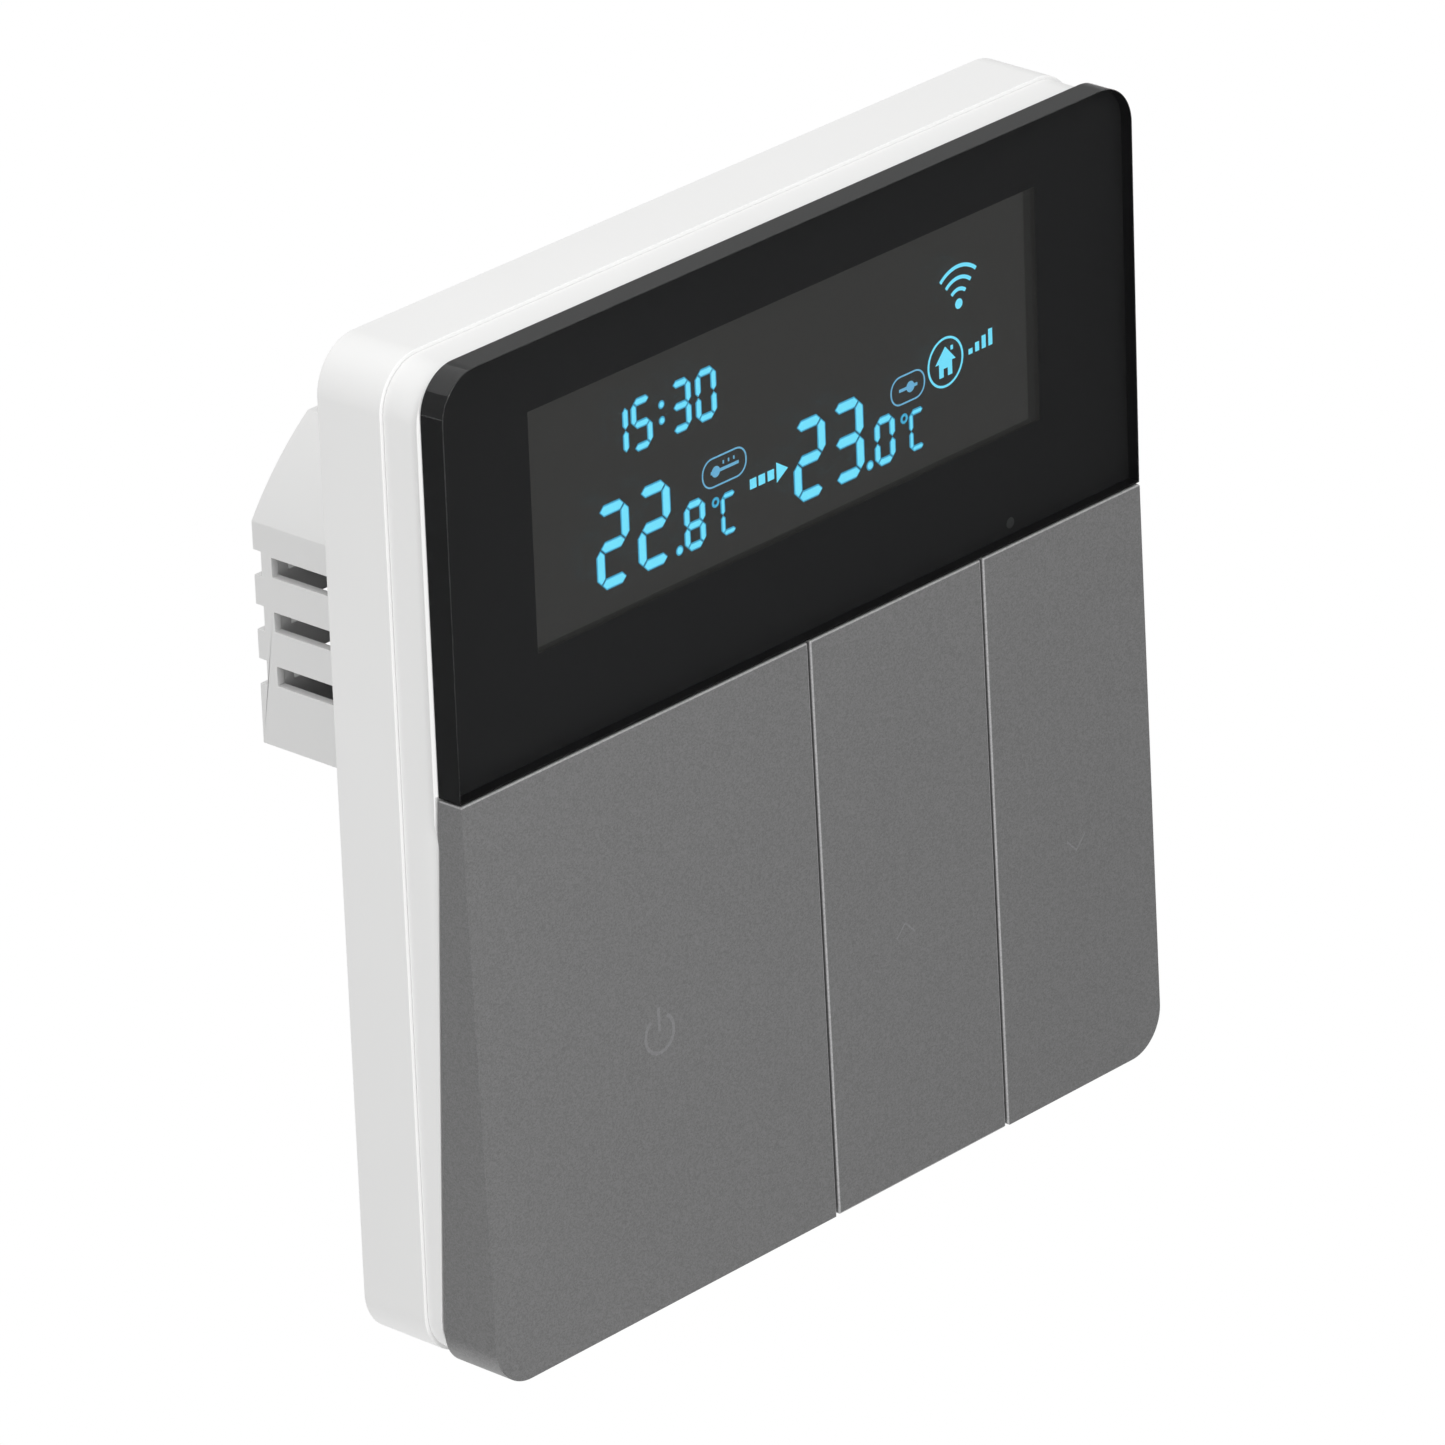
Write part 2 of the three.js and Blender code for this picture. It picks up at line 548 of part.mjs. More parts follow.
function buildGlass() {
  const glass = roundedRect(-FACE.w / 2, GLASS_BOTTOM_Z, FACE.w / 2, FACE.h / 2, [0, 0, FACE.r, FACE.r]);
  piece("front_glass", prismY(glass, GLASS_FRONT_Y, GLASS_BACK_Y), blackGlass);

  const tapeOuter = block(-41, 41, GLASS_BACK_Y, COVER_FRONT_Y, GLASS_BOTTOM_Z + 1, COVER.h / 2 - 1.9);
  const tapeInner = block(
    -HOLDER.halfW - 0.9,
    HOLDER.halfW + 0.9,
    -20,
    0,
    LCD.z - HOLDER.halfH - 0.6,
    LCD.z + HOLDER.halfH + 0.6,
  );
  const ledGap = bar("y", 0.7, -20, 0, LED.x, LED.z, 12);
  const corners = prismY(centredRect(COVER, 1.9), -20, 0);
  piece("glass_tape", cut(tapeOuter.intersect(corners), tapeInner, ledGap), blackTape);
}

function buildDisplay() {
  const { halfW, halfH, z } = LCD;
  piece("lcd_panel", block(-halfW, halfW, -11.2, -9.7, z - halfH, z + halfH), lcdGlass);
  piece("backlight_guide", block(-halfW, halfW, -9.6, -8.5, z - halfH, z + halfH), clearAcrylic);
  const holderOuter = block(-HOLDER.halfW, HOLDER.halfW, -10.9, -8.45, z - HOLDER.halfH, z + HOLDER.halfH);
  const holderInner = block(-halfW - 0.15, halfW + 0.15, -20, 0, z - halfH - 0.15, z + halfH + 0.15);
  piece("lcd_holder", cut(holderOuter, holderInner), blackPlastic);
}

function buildDisplayBoard() {
  const { halfW, bottom, top } = BOARD;
  const outer = prismY(roundedRect(-halfW, bottom, halfW, top, 1.2), BOARD.front, BOARD.back, 2);
  const holes = BOARD_SCREWS.map(([x, z]) => bar("y", 1.2, BOARD.front - 1, BOARD.back + 1, x, z, 12));
  piece("display_board", cut(outer, ...holes), greenBoard);
  BOARD_SCREWS.forEach(([x, z], i) => {
    const turned = panScrew(0, 0, BOARD.back, 0.9, 2, 0.9, BOARD.back + 4.2 - 0.9);
    // The head bears on the back of the board, so the screw is turned round to point at the front.
    piece(`board_screw_${i + 1}`, turned.rotate([180, 0, 0]).translate([x, 2 * BOARD.back + 0.9, z]), steel);
  });

  const seat = BOARD.back + 0.05;
  piece("microcontroller", block(14, 24, seat, seat + 1.2, -34, -24), blackPlastic);
  const radioBoard = block(-26, -10, seat, seat + 0.8, 14, 38);
  const radioCan = block(-25, -11, seat + 0.5, seat + 2, 15, 31);
  piece("radio_module", join(radioBoard, radioCan), steel);
  const buzzer = bar("y", 4.5, seat, seat + 4, -25, -33, 24);
  piece("buzzer", cut(buzzer, bar("y", 0.8, seat + 3, seat + 5, -25, -33, 10)), blackPlastic);
  piece("backup_cell", bar("y", 6, seat, seat + 2, 0, -34.5, 28), steel);
  const bead = bar("z", 0.9, -40.4, -38, 31, seat + 1, 12);
  piece("room_sensor", join(bead, block(30.7, 31.3, seat, seat + 1, -39.4, -39)), blackPlastic);
  piece("status_led", block(LED.x - 0.8, LED.x + 0.8, -9.3, BOARD.front - 0.05, LED.z - 0.4, LED.z + 0.4), clearAcrylic);
}

// ---------------------------------------------------------------- keys and tact switches

function buildKey(key) {
  const foot = -FACE.h / 2;
  const { x0, x1, bl, br } = key;
  const front = prismY(roundedRect(x0, foot, x1, KEY_TOP_Z, [bl, br, 0, 0]), -20, -5);
  const side = outline([
    [keyFrontY(KEY_TOP_Z), KEY_TOP_Z],
    [keyFrontY(foot), foot],
    [skirtBackY(foot), foot],
    [skirtBackY(KEY_TOP_Z), KEY_TOP_Z],
  ]);
  const shell = front.intersect(prismX(side.clone(), x0 - 1, x1 + 1));

  const outerLeft = bl > 0;
  const outerRight = br > 0;
  const [hx0, hx1] = [x0 + KEY_SKIRT_T, x1 - KEY_SKIRT_T];
  const [hz0, hz1] = [foot + 1.2, KEY_TOP_Z - 1.2];
  const radii = [bl ? bl - KEY_SKIRT_T : 0, br ? br - KEY_SKIRT_T : 0, 0, 0];
  const hollowSide = outline([
    [keyFrontY(hz1) + KEY_PLATE_T, hz1],
    [keyFrontY(hz0) + KEY_PLATE_T, hz0],
    [0, hz0],
    [0, hz1],
  ]);
  const hollow = prismY(roundedRect(hx0, hz0, hx1, hz1, radii), -20, 0).intersect(
    prismX(hollowSide, x0 - 1, x1 + 1),
  );
  // Beside another key the side wall is only a short rib, so that it stays clear of the deck.
  const behind = block(outerLeft ? hx0 : x0 - 1, outerRight ? hx1 : x1 + 1, -11.7, 0, foot + KEY_SKIRT_T + 5, hz1);
  const behindLow = block(
    outerLeft ? hx0 + bl : x0 - 1,
    outerRight ? hx1 - br : x1 + 1,
    -11.7,
    0,
    hz0,
    foot + KEY_SKIRT_T + 5,
  );

  const arms = key.arms.map((x, i) => {
    const [a0, a1] = i === 0 ? [x, x + 1.2] : [x - 1.2, x];
    const arm = block(a0, a1, -13, PIVOT.y + 0.8, PIVOT.z - 1, KEY_TOP_Z - 1);
    const stub = bar("x", PIVOT.r, ...(i === 0 ? [x - 1.2, x + 0.6] : [x - 0.6, x + 1.2]), PIVOT.y, PIVOT.z, 12);
    return join(arm, stub);
  });
  const x = pressX(key);
  const postRoot = keyFrontY(PRESS_Z) + KEY_PLATE_T / 2;
  const post = bar("y", 1.6, postRoot, -11.9, x, PRESS_Z, 14);
  piece(`key_${key.name}`, join(cut(shell, hollow, behind, behindLow), post, ...arms), greyKeys);
}

function buildTactSwitch(key) {
  const x = pressX(key);
  const body = block(x - 3, x + 3, -11, BOARD.front - 0.05, PRESS_Z - 3, PRESS_Z + 3);
  const bore = bar("y", 2, -12, -9.4, x, PRESS_Z, 16);
  piece(`tact_body_${key.name}`, cut(body, bore), steel);
  piece(`tact_plunger_${key.name}`, bar("y", 1.7, -11.6, -10, x, PRESS_Z, 16), blackPlastic);
}

// ---------------------------------------------------------------- assembly

buildRearHousing();
buildInnerCover();
buildInnerScrews();
buildPowerBoard();
buildBoardConnector();
buildTerminalBlock();
for (let i = 0; i < TERMINALS; i++) buildTerminal(i);
buildFrontCover();
buildGlass();
buildDisplay();
buildDisplayBoard();
for (const key of KEYS) {
  buildKey(key);
  buildTactSwitch(key);
}

export default thermostat;
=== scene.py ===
"""Looks for the wall thermostat.

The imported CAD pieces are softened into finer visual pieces, the display, the key legends and
the small parts on the boards are added, every piece gets a procedural finish, and a bright
soft studio is set up round the part. Lengths in the classes are millimetres; meshes are metres.
"""

from __future__ import annotations

import json
import logging
import math
from dataclasses import dataclass
from enum import Enum
from typing import Callable, Iterable, Sequence

import bmesh
import bpy
from mathutils import Matrix, Vector

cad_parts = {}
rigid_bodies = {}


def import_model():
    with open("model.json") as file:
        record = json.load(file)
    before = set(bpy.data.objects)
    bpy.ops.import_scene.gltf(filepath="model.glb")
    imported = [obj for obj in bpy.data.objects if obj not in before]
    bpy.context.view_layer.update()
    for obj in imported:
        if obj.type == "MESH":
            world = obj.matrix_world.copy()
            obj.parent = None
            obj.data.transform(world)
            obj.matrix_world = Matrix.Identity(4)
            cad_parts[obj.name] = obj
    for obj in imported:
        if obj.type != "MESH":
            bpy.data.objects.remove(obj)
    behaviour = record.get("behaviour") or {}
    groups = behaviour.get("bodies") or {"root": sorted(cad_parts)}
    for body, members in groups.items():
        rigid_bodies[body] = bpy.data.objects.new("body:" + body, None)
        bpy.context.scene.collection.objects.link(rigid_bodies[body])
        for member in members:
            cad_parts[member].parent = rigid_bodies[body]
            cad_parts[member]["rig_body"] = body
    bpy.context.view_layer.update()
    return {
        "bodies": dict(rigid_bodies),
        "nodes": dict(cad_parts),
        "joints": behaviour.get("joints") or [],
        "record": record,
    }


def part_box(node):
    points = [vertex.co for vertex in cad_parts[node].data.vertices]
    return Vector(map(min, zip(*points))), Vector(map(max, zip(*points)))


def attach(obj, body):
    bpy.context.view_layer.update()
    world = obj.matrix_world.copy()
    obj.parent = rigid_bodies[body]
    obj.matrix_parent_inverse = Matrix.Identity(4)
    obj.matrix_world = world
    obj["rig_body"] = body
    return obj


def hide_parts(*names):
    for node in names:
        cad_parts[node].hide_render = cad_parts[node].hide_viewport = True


LOG = logging.getLogger("thermostat")
MM = 0.001
CREASE_DEG = 26.0  # edges that turn more than this are creases
ROUND_DEG = 50.0  # the same, between the steps of a rounding
ROUND_ROOM = 2.2  # room that a rounding needs at its ends, in its own widths
NARROW_SHARE = 0.4  # share of the width that is tried where the whole width has no room
MERGE_CAD_M = 2e-6  # corners of a CAD mesh that are closer than this are one corner
MERGE_NEW_M = 1e-7  # the same for a mesh made here
AT_FACE_M = 1e-5  # how near to a face a corner of it lies
SENSOR_MM = 36.0

Triple = tuple[float, float, float]
Point2 = tuple[float, float]
Mesh = bmesh.types.BMesh

FRONT_PANEL = "front_panel"
REAR_MODULE = "rear_module"


# ----------------------------------------------------------------------------- finishes


class Surface(Enum):
    """The finishes of the real pieces; each value is the record's material slot."""

    WHITE_PLASTIC = "white_plastic"
    KEY_PAINT = "key_paint"
    GLASS = "black_glass"
    TAPE = "adhesive_tape"
    DISPLAY = "display_glass"
    ACRYLIC = "clear_acrylic"
    BOARD = "circuit_board"
    BLACK_PLASTIC = "black_plastic"
    STEEL = "plated_steel"
    BRASS = "brass"
    RELAY = "relay_case"
    FERRITE = "ferrite"
    YELLOW_FILM = "yellow_film"
    SLEEVE = "capacitor_sleeve"
    VARISTOR = "varistor_coating"
    CERAMIC = "fuse_ceramic"
    NYLON = "grey_nylon"


@dataclass(frozen=True)
class Finish:
    """A procedural finish built on one principled shader.

    Args:
        color: Linear base colour.
        roughness: Mean roughness.
        metallic: Metallic weight.
        grain_mm: Size of the fine surface grain.
        grain_depth_mm: Height of that grain.
        tone: Share of the colour that drifts over the surface.
        coat: Clear coat weight.
        transmission: Transmission weight.
        ior: Index of refraction.
        emission: Emitted colour.
        emission_strength: Strength of the emission.
        flake: Share of the colour that changes from flake to flake.
        edge_highlight: Gain in colour along rounded edges, a painted highlight where the edges catch the
            light.
        tracks: Gain in colour where copper tracks lie under the mask.
    """

    color: Triple
    roughness: float
    metallic: float = 0.0
    grain_mm: float = 0.12
    grain_depth_mm: float = 0.0
    tone: float = 0.02
    coat: float = 0.0
    transmission: float = 0.0
    ior: float = 1.5
    emission: Triple = (0.0, 0.0, 0.0)
    emission_strength: float = 0.0
    flake: float = 0.0
    edge_highlight: float = 1.0
    tracks: float = 1.0


# Tint of the painted light on the display cell, which glows in place of the studio light that falls on it
# behind the glass.
PAINTED_LIGHT_TINT = (1.0, 0.98, 0.95)

FINISHES: dict[str, Finish] = {
    "white_plastic": Finish((0.83, 0.83, 0.825), 0.42, grain_mm=0.09, grain_depth_mm=0.004, tone=0.015),
    # Key paint: the colour is raised on the rounded edges as a painted highlight.
    "key_paint": Finish(
        (0.219, 0.219, 0.220), 0.46, 0.35, grain_mm=0.12, grain_depth_mm=0.004, flake=0.15, edge_highlight=1.8
    ),
    "black_glass": Finish((0.97, 0.985, 0.98), 0.01, transmission=1.0, ior=1.5, tone=0.0),
    "glass_print": Finish((0.008, 0.008, 0.009), 0.55, tone=0.0),
    "print_dot": Finish((0.06, 0.06, 0.06), 0.4, tone=0.0),
    "adhesive_tape": Finish((0.012, 0.012, 0.012), 0.9, grain_mm=0.3, grain_depth_mm=0.01),
    # The cell's faint warm glow is painted light; the margin gets half of it.
    "display_glass": Finish((0.012, 0.012, 0.012), 0.25, tone=0.0, emission=PAINTED_LIGHT_TINT, emission_strength=0.036),
    "display_margin": Finish((0.012, 0.012, 0.012), 0.25, tone=0.0, emission=PAINTED_LIGHT_TINT, emission_strength=0.018),
    "display_segment": Finish(
        (0.05, 0.20, 0.25), 0.5, tone=0.0, emission=(0.17, 0.72, 0.95), emission_strength=1.0
    ),
    "display_halo": Finish(
        (0.02, 0.10, 0.15), 0.5, tone=0.0, emission=(0.05, 0.40, 0.66), emission_strength=0.8
    ),
    "display_outline": Finish(
        (0.05, 0.12, 0.2), 0.5, tone=0.0, emission=(0.16, 0.46, 0.68), emission_strength=0.85
    ),
    "key_legend": Finish((0.27, 0.27, 0.275), 0.42, 0.3, flake=0.1),
    "clear_acrylic": Finish((0.86, 0.88, 0.90), 0.2, tone=0.0),
    "circuit_board": Finish((0.012, 0.105, 0.042), 0.38, coat=0.3, tone=0.08, grain_mm=0.5, tracks=1.6),
    "solder": Finish((0.70, 0.71, 0.72), 0.25, 1.0, grain_mm=0.25, grain_depth_mm=0.01),
    "gold_plate": Finish((0.85, 0.62, 0.25), 0.25, 1.0, grain_mm=0.2, grain_depth_mm=0.001),
    "chip_ceramic": Finish((0.42, 0.30, 0.19), 0.5, tone=0.1, grain_mm=0.3),
    "moulded_mark": Finish((0.78, 0.78, 0.775), 0.5, grain_mm=0.09, grain_depth_mm=0.004),
    "black_plastic": Finish((0.016, 0.016, 0.017), 0.45, grain_mm=0.15, grain_depth_mm=0.005),
    "plated_steel": Finish((0.62, 0.63, 0.65), 0.28, 1.0, grain_mm=0.2, grain_depth_mm=0.002),
    "brass": Finish((0.72, 0.52, 0.22), 0.3, 1.0, grain_mm=0.2, grain_depth_mm=0.002),
    "relay_case": Finish((0.10, 0.102, 0.106), 0.35, grain_mm=0.2, grain_depth_mm=0.003),
    "ferrite": Finish((0.035, 0.036, 0.04), 0.65, grain_mm=0.2, grain_depth_mm=0.01, tone=0.15),
    "yellow_film": Finish((0.78, 0.52, 0.05), 0.35, coat=0.3, tone=0.04),
    "capacitor_sleeve": Finish((0.012, 0.02, 0.07), 0.3, coat=0.4),
    "varistor_coating": Finish((0.03, 0.13, 0.48), 0.35, grain_mm=0.4, grain_depth_mm=0.02, tone=0.06),
    "fuse_ceramic": Finish((0.78, 0.74, 0.64), 0.55, grain_mm=0.15, grain_depth_mm=0.006),
    "grey_nylon": Finish((0.58, 0.59, 0.59), 0.4, grain_mm=0.12, grain_depth_mm=0.005),
}


class Graph:
    """A thin wrapper that builds a node tree a line at a time."""

    def __init__(self, tree: bpy.types.NodeTree) -> None:
        """Clears the tree and keeps it."""
        self.tree = tree
        tree.nodes.clear()

    def node(self, kind: str, settings: dict | None = None, **inputs: object) -> bpy.types.Node:
        """Adds a node.

        Args:
            kind: Node type name, without its "ShaderNode" prefix unless it is a group's end.
            settings: Attributes to set on the node.
            inputs: Socket values, with underscores for spaces; a socket is linked.

        Returns:
            The new node.
        """
        made = self.tree.nodes.new(kind if kind.startswith("NodeGroup") else "ShaderNode" + kind)
        for key, value in (settings or {}).items():
            setattr(made, key, value)
        for key, value in inputs.items():
            self.feed(made.inputs[key.replace("_", " ")], value)
        return made

    def feed(self, socket: bpy.types.NodeSocket, value: object) -> None:
        """Sets a socket, or links it when the value is itself a socket."""
        if isinstance(value, bpy.types.NodeSocket):
            self.tree.links.new(value, socket)
        else:
            socket.default_value = value

    def math(self, operation: str, a: bpy.types.NodeSocket, b: bpy.types.NodeSocket) -> bpy.types.NodeSocket:
        """Combines two values by a maths node."""
        made = self.node("Math", {"operation": operation})
        self.feed(made.inputs[0], a)
        self.feed(made.inputs[1], b)
        return made.outputs[0]

    def ramp(
        self, value: bpy.types.NodeSocket, low: object, high: object, start: float = 0.0, end: float = 1.0
    ) -> bpy.types.NodeSocket:
        """Maps a value that runs from start to end onto the range from low to high."""
        made = self.node("MapRange", Value=value, From_Min=start, From_Max=end, To_Min=low, To_Max=high)
        return made.outputs["Result"]


class FinishLibrary:
    """Builds each finish once and hands out its material."""

    DRIFT_SCALE = 60.0
    TRACK_SCALE = 260.0
    TRACK_SHARE = 0.07
    TRACK_FADE = 1.3
    DRIFT_RANGE = (0.3, 0.7)
    ROUGH_SPREAD = 0.04
    ROUGH_LEAST = 0.02
    BUMP_STRENGTH = 0.35

    def __init__(self) -> None:
        """Builds the node groups that the finishes share."""
        self._made: dict[str, bpy.types.Material] = {}
        self._variation = self._variation_group()
        self._tracks = self._tracks_group()

    def get(self, name: str) -> bpy.types.Material:
        """Returns the material of a finish, building it the first time.

        Args:
            name: Key in FINISHES.

        Returns:
            The material.
        """
        if name not in self._made:
            self._made[name] = self._build(name, FINISHES[name])
        return self._made[name]

    @classmethod
    def _variation_group(cls) -> bpy.types.NodeTree:
        """A group shared by the finishes: fine grain, slow drift and single flakes, all as values."""
        group = bpy.data.node_groups.new("surface_variation", "ShaderNodeTree")
        group.interface.new_socket("Scale", in_out="INPUT", socket_type="NodeSocketFloat")
        for name in ("Grain", "Drift", "Flake"):
            group.interface.new_socket(name, in_out="OUTPUT", socket_type="NodeSocketFloat")
        graph = Graph(group)
        entry = graph.node("NodeGroupInput")
        out = graph.node("NodeGroupOutput")
        where = graph.node("TexCoord").outputs["Object"]
        grain = graph.node("TexNoise", Vector=where, Scale=entry.outputs["Scale"], Detail=3.0)
        drift = graph.node("TexNoise", Vector=where, Scale=cls.DRIFT_SCALE, Detail=2.0)
        flake = graph.node("TexVoronoi", Vector=where, Scale=entry.outputs["Scale"])
        value = graph.node("SeparateColor", Color=flake.outputs["Color"])
        graph.feed(out.inputs["Grain"], grain.outputs["Fac"])
        graph.feed(out.inputs["Drift"], drift.outputs["Fac"])
        graph.feed(out.inputs["Flake"], value.outputs["Red"])
        return group

    @classmethod
    def _tracks_group(cls) -> bpy.types.NodeTree:
        """A group for the boards: a mask of copper tracks in the plane of the wall."""
        group = bpy.data.node_groups.new("copper_tracks", "ShaderNodeTree")
        group.interface.new_socket("Gain", in_out="INPUT", socket_type="NodeSocketFloat")
        group.interface.new_socket("Level", in_out="OUTPUT", socket_type="NodeSocketFloat")
        graph = Graph(group)
        entry = graph.node("NodeGroupInput")
        out = graph.node("NodeGroupOutput")
        where = graph.node("TexCoord").outputs["Object"]
        flat = graph.node("Mapping", Vector=where)
        flat.inputs["Scale"].default_value = (1.0, 0.0, 1.0)
        near, next_near = (
            graph.node(
                "TexVoronoi",
                {"feature": feature, "distance": "CHEBYCHEV"},
                Vector=flat.outputs["Vector"],
                Scale=cls.TRACK_SCALE,
            ).outputs["Distance"]
            for feature in ("F1", "F2")
        )
        between = graph.math("SUBTRACT", next_near, near)
        start, end = cls.TRACK_SHARE, cls.TRACK_SHARE * cls.TRACK_FADE
        graph.feed(out.inputs["Level"], graph.ramp(between, entry.outputs["Gain"], 1.0, start, end))
        return group

    def _build(self, name: str, finish: Finish) -> bpy.types.Material:
        """Builds the material of one finish."""
        material = bpy.data.materials.new(name)
        material.use_nodes = True
        graph = Graph(material.node_tree)
        shader = graph.node(
            "BsdfPrincipled",
            Base_Color=(*finish.color, 1.0),
            Roughness=finish.roughness,
            Metallic=finish.metallic,
            IOR=finish.ior,
            Coat_Weight=finish.coat,
            Transmission_Weight=finish.transmission,
            Emission_Color=(*finish.emission, 1.0),
            Emission_Strength=finish.emission_strength,
        )
        graph.node("OutputMaterial", Surface=shader.outputs["BSDF"])
        material.diffuse_color = (*finish.color, 1.0)
        if finish.tone or finish.flake or finish.grain_depth_mm:
            self._vary(graph, shader, finish)
        return material

    def _vary(self, graph: Graph, shader: bpy.types.Node, finish: Finish) -> None:
        """Drives colour, roughness and bump from the shared groups."""
        variation = graph.node("Group", {"node_tree": self._variation}, Scale=1.0 / (finish.grain_mm * MM))
        level = graph.ramp(variation.outputs["Drift"], 1.0 - finish.tone, 1.0, *self.DRIFT_RANGE)
        if finish.flake:
            flake = graph.ramp(variation.outputs["Flake"], 1.0 - finish.flake, 1.0 + finish.flake)
            level = graph.math("MULTIPLY", level, flake)
        # Painted highlight: lighter colour on the faces of the edge rounding.
        if finish.edge_highlight != 1.0:
            edge = graph.node("Attribute", {"attribute_name": "edge_highlight"}).outputs["Fac"]
            level = graph.math("MULTIPLY", level, graph.ramp(edge, 1.0, finish.edge_highlight))
        if finish.tracks != 1.0:
            tracks = graph.node("Group", {"node_tree": self._tracks}, Gain=finish.tracks)
            level = graph.math("MULTIPLY", level, tracks.outputs["Level"])
        scaled = graph.node("VectorMath", {"operation": "SCALE"}, Scale=level)
        scaled.inputs[0].default_value = finish.color
        graph.feed(shader.inputs["Base Color"], scaled.outputs["Vector"])
        smoothest = max(finish.roughness - self.ROUGH_SPREAD, self.ROUGH_LEAST)
        roughest = min(finish.roughness + self.ROUGH_SPREAD, 1.0)
        rough = graph.ramp(variation.outputs["Grain"], smoothest, roughest)
        graph.feed(shader.inputs["Roughness"], rough)
        if finish.grain_depth_mm:
            bump = graph.node(
                "Bump",
                Strength=self.BUMP_STRENGTH,
                Distance=finish.grain_depth_mm * MM,
                Height=variation.outputs["Grain"],
            )
            graph.feed(shader.inputs["Normal"], bump.outputs["Normal"])


# ----------------------------------------------------------------------------- meshes


def new_object(name: str, bm: Mesh, material: bpy.types.Material) -> bpy.types.Object:
    """Turns a bmesh into a smooth-shaded object at the origin.

    Args:
        name: Piece name.
        bm: The mesh, in metres; it is freed.
        material: Its material.

    Returns:
        The object.
    """
    mesh = bpy.data.meshes.new(name)
    for face in bm.faces:
        face.smooth = True
    rounded = bm.edges.layers.int.get("rounded")
    for edge in bm.edges:
        on_rounding = rounded is not None and edge[rounded]
        crease = math.radians(ROUND_DEG if on_rounding else CREASE_DEG)
        edge.smooth = edge.calc_face_angle(math.pi) < crease
    bm.to_mesh(mesh)
    bm.free()
    mesh.materials.append(material)
    piece = bpy.data.objects.new(name, mesh)
    bpy.context.scene.collection.objects.link(piece)
    weighted = piece.modifiers.new("weighted", "WEIGHTED_NORMAL")
    weighted.keep_sharp = True
    weighted.use_face_influence = True
    weighted.weight = 80
    return piece


def round_edges(bm: Mesh, width: float, segments: int, wanted: Callable[[bmesh.types.BMEdge], bool]) -> None:
    """Rounds the sharp edges that have room for it, and marks what it made.

    Args:
        bm: Mesh to change, in metres.
        width: Wanted width of the rounding, in metres.
        segments: Steps in the rounding.
        wanted: Says whether an edge may be rounded.
    """
    rounded = bm.edges.layers.int.new("rounded")
    # The faces of the rounding are marked for the painted edge highlight.
    edge_highlight = bm.faces.layers.float.new("edge_highlight")
    crease = math.radians(CREASE_DEG)
    sharp = [e for e in bm.edges if len(e.link_faces) == 2 and e.calc_face_angle(0.0) > crease and wanted(e)]

    def room(edge: bmesh.types.BMEdge) -> float:
        """The shortest edge that meets this one."""
        lengths = [e.calc_length() for v in edge.verts for e in v.link_edges if e is not edge]
        return min(lengths, default=edge.calc_length())

    for scale in (1.0, NARROW_SHARE):
        edges = [e for e in sharp if room(e) > ROUND_ROOM * width * scale]
        if not edges:
            continue
        made = bmesh.ops.bevel(
            bm,
            geom=edges,
            offset=width * scale,
            offset_type="OFFSET",
            segments=segments,
            profile=0.5,
            affect="EDGES",
            clamp_overlap=False,
            material=-1,
            face_strength_mode="ALL",
        )
        for face in made["faces"]:
            face[edge_highlight] = 1.0
            for edge in face.edges:
                edge[rounded] = 1
        break


def rectangle(left: float, right: float, foot: float, head: float) -> list[Point2]:
    """The corners of an upright rectangle, from the lower left one round by the right."""
    return [(left, foot), (right, foot), (right, head), (left, head)]


def in_mm(box: tuple[Triple, Triple]) -> tuple[Vector, Vector]:
    """The low and high corners of a box in metres, given back in millimetres."""
    low, high = box
    return Vector(low) / MM, Vector(high) / MM


def flat_face(bm: Mesh, outline: Iterable[Point2], y: float) -> bmesh.types.BMFace:
    """Adds one flat face with an outline in X and Z.

    Args:
        bm: Mesh to add to.
        outline: Corners as (x, z), in millimetres.
        y: Its Y, in millimetres.

    Returns:
        The face.
    """
    return bm.faces.new([bm.verts.new((x * MM, y * MM, z * MM)) for x, z in outline])


def round_corners(bm: Mesh, corners: Iterable[bmesh.types.BMVert], radius: float, steps: int) -> None:
    """Rounds corners of a flat face, with the radius in millimetres."""
    bmesh.ops.bevel(
        bm,
        geom=list(corners),
        offset=radius * MM,
        segments=steps,
        profile=0.5,
        affect="VERTICES",
        material=-1,
    )


def plate(bm: Mesh, outline: Iterable[Point2], y: float, depth: float) -> None:
    """Adds a thin solid with a flat outline in X and Z.

    Args:
        bm: Mesh to add to.
        outline: Corners as (x, z), in millimetres.
        y: Y of its front face, in millimetres.
        depth: Thickness behind the front face, in millimetres.
    """
    thicken(bm, [flat_face(bm, outline, y)], depth)


def thicken(bm: Mesh, faces: list[bmesh.types.BMFace], depth: float) -> None:
    """Pulls flat faces back along Y into a solid, depth in millimetres."""
    made = bmesh.ops.extrude_face_region(bm, geom=faces, use_keep_orig=True)
    moved = [v for v in made["geom"] if isinstance(v, bmesh.types.BMVert)]
    bmesh.ops.translate(bm, verts=moved, vec=(0.0, depth * MM, 0.0))


def disc(bm: Mesh, x: float, z: float, r: float, y: float, depth: float, bore: float = 0.0) -> None:
    """Adds a round plate, or a ring when it has a bore.

    Args:
        bm: Mesh to add to.
        x: Centre X, in millimetres.
        z: Centre Z.
        r: Outer radius.
        y: Y of its front face.
        depth: Thickness.
        bore: Radius of the hole.
    """
    turned = Matrix.Translation(Vector((x, y, z)) * MM) @ Matrix.Rotation(math.pi / 2, 4, "X")
    made = bmesh.ops.create_circle(bm, cap_ends=True, segments=36, radius=r * MM, matrix=turned)
    faces = list({f for v in made["verts"] for f in v.link_faces})
    if bore:
        faces = rim_of(bm, faces, r - bore)
    thicken(bm, faces, depth)


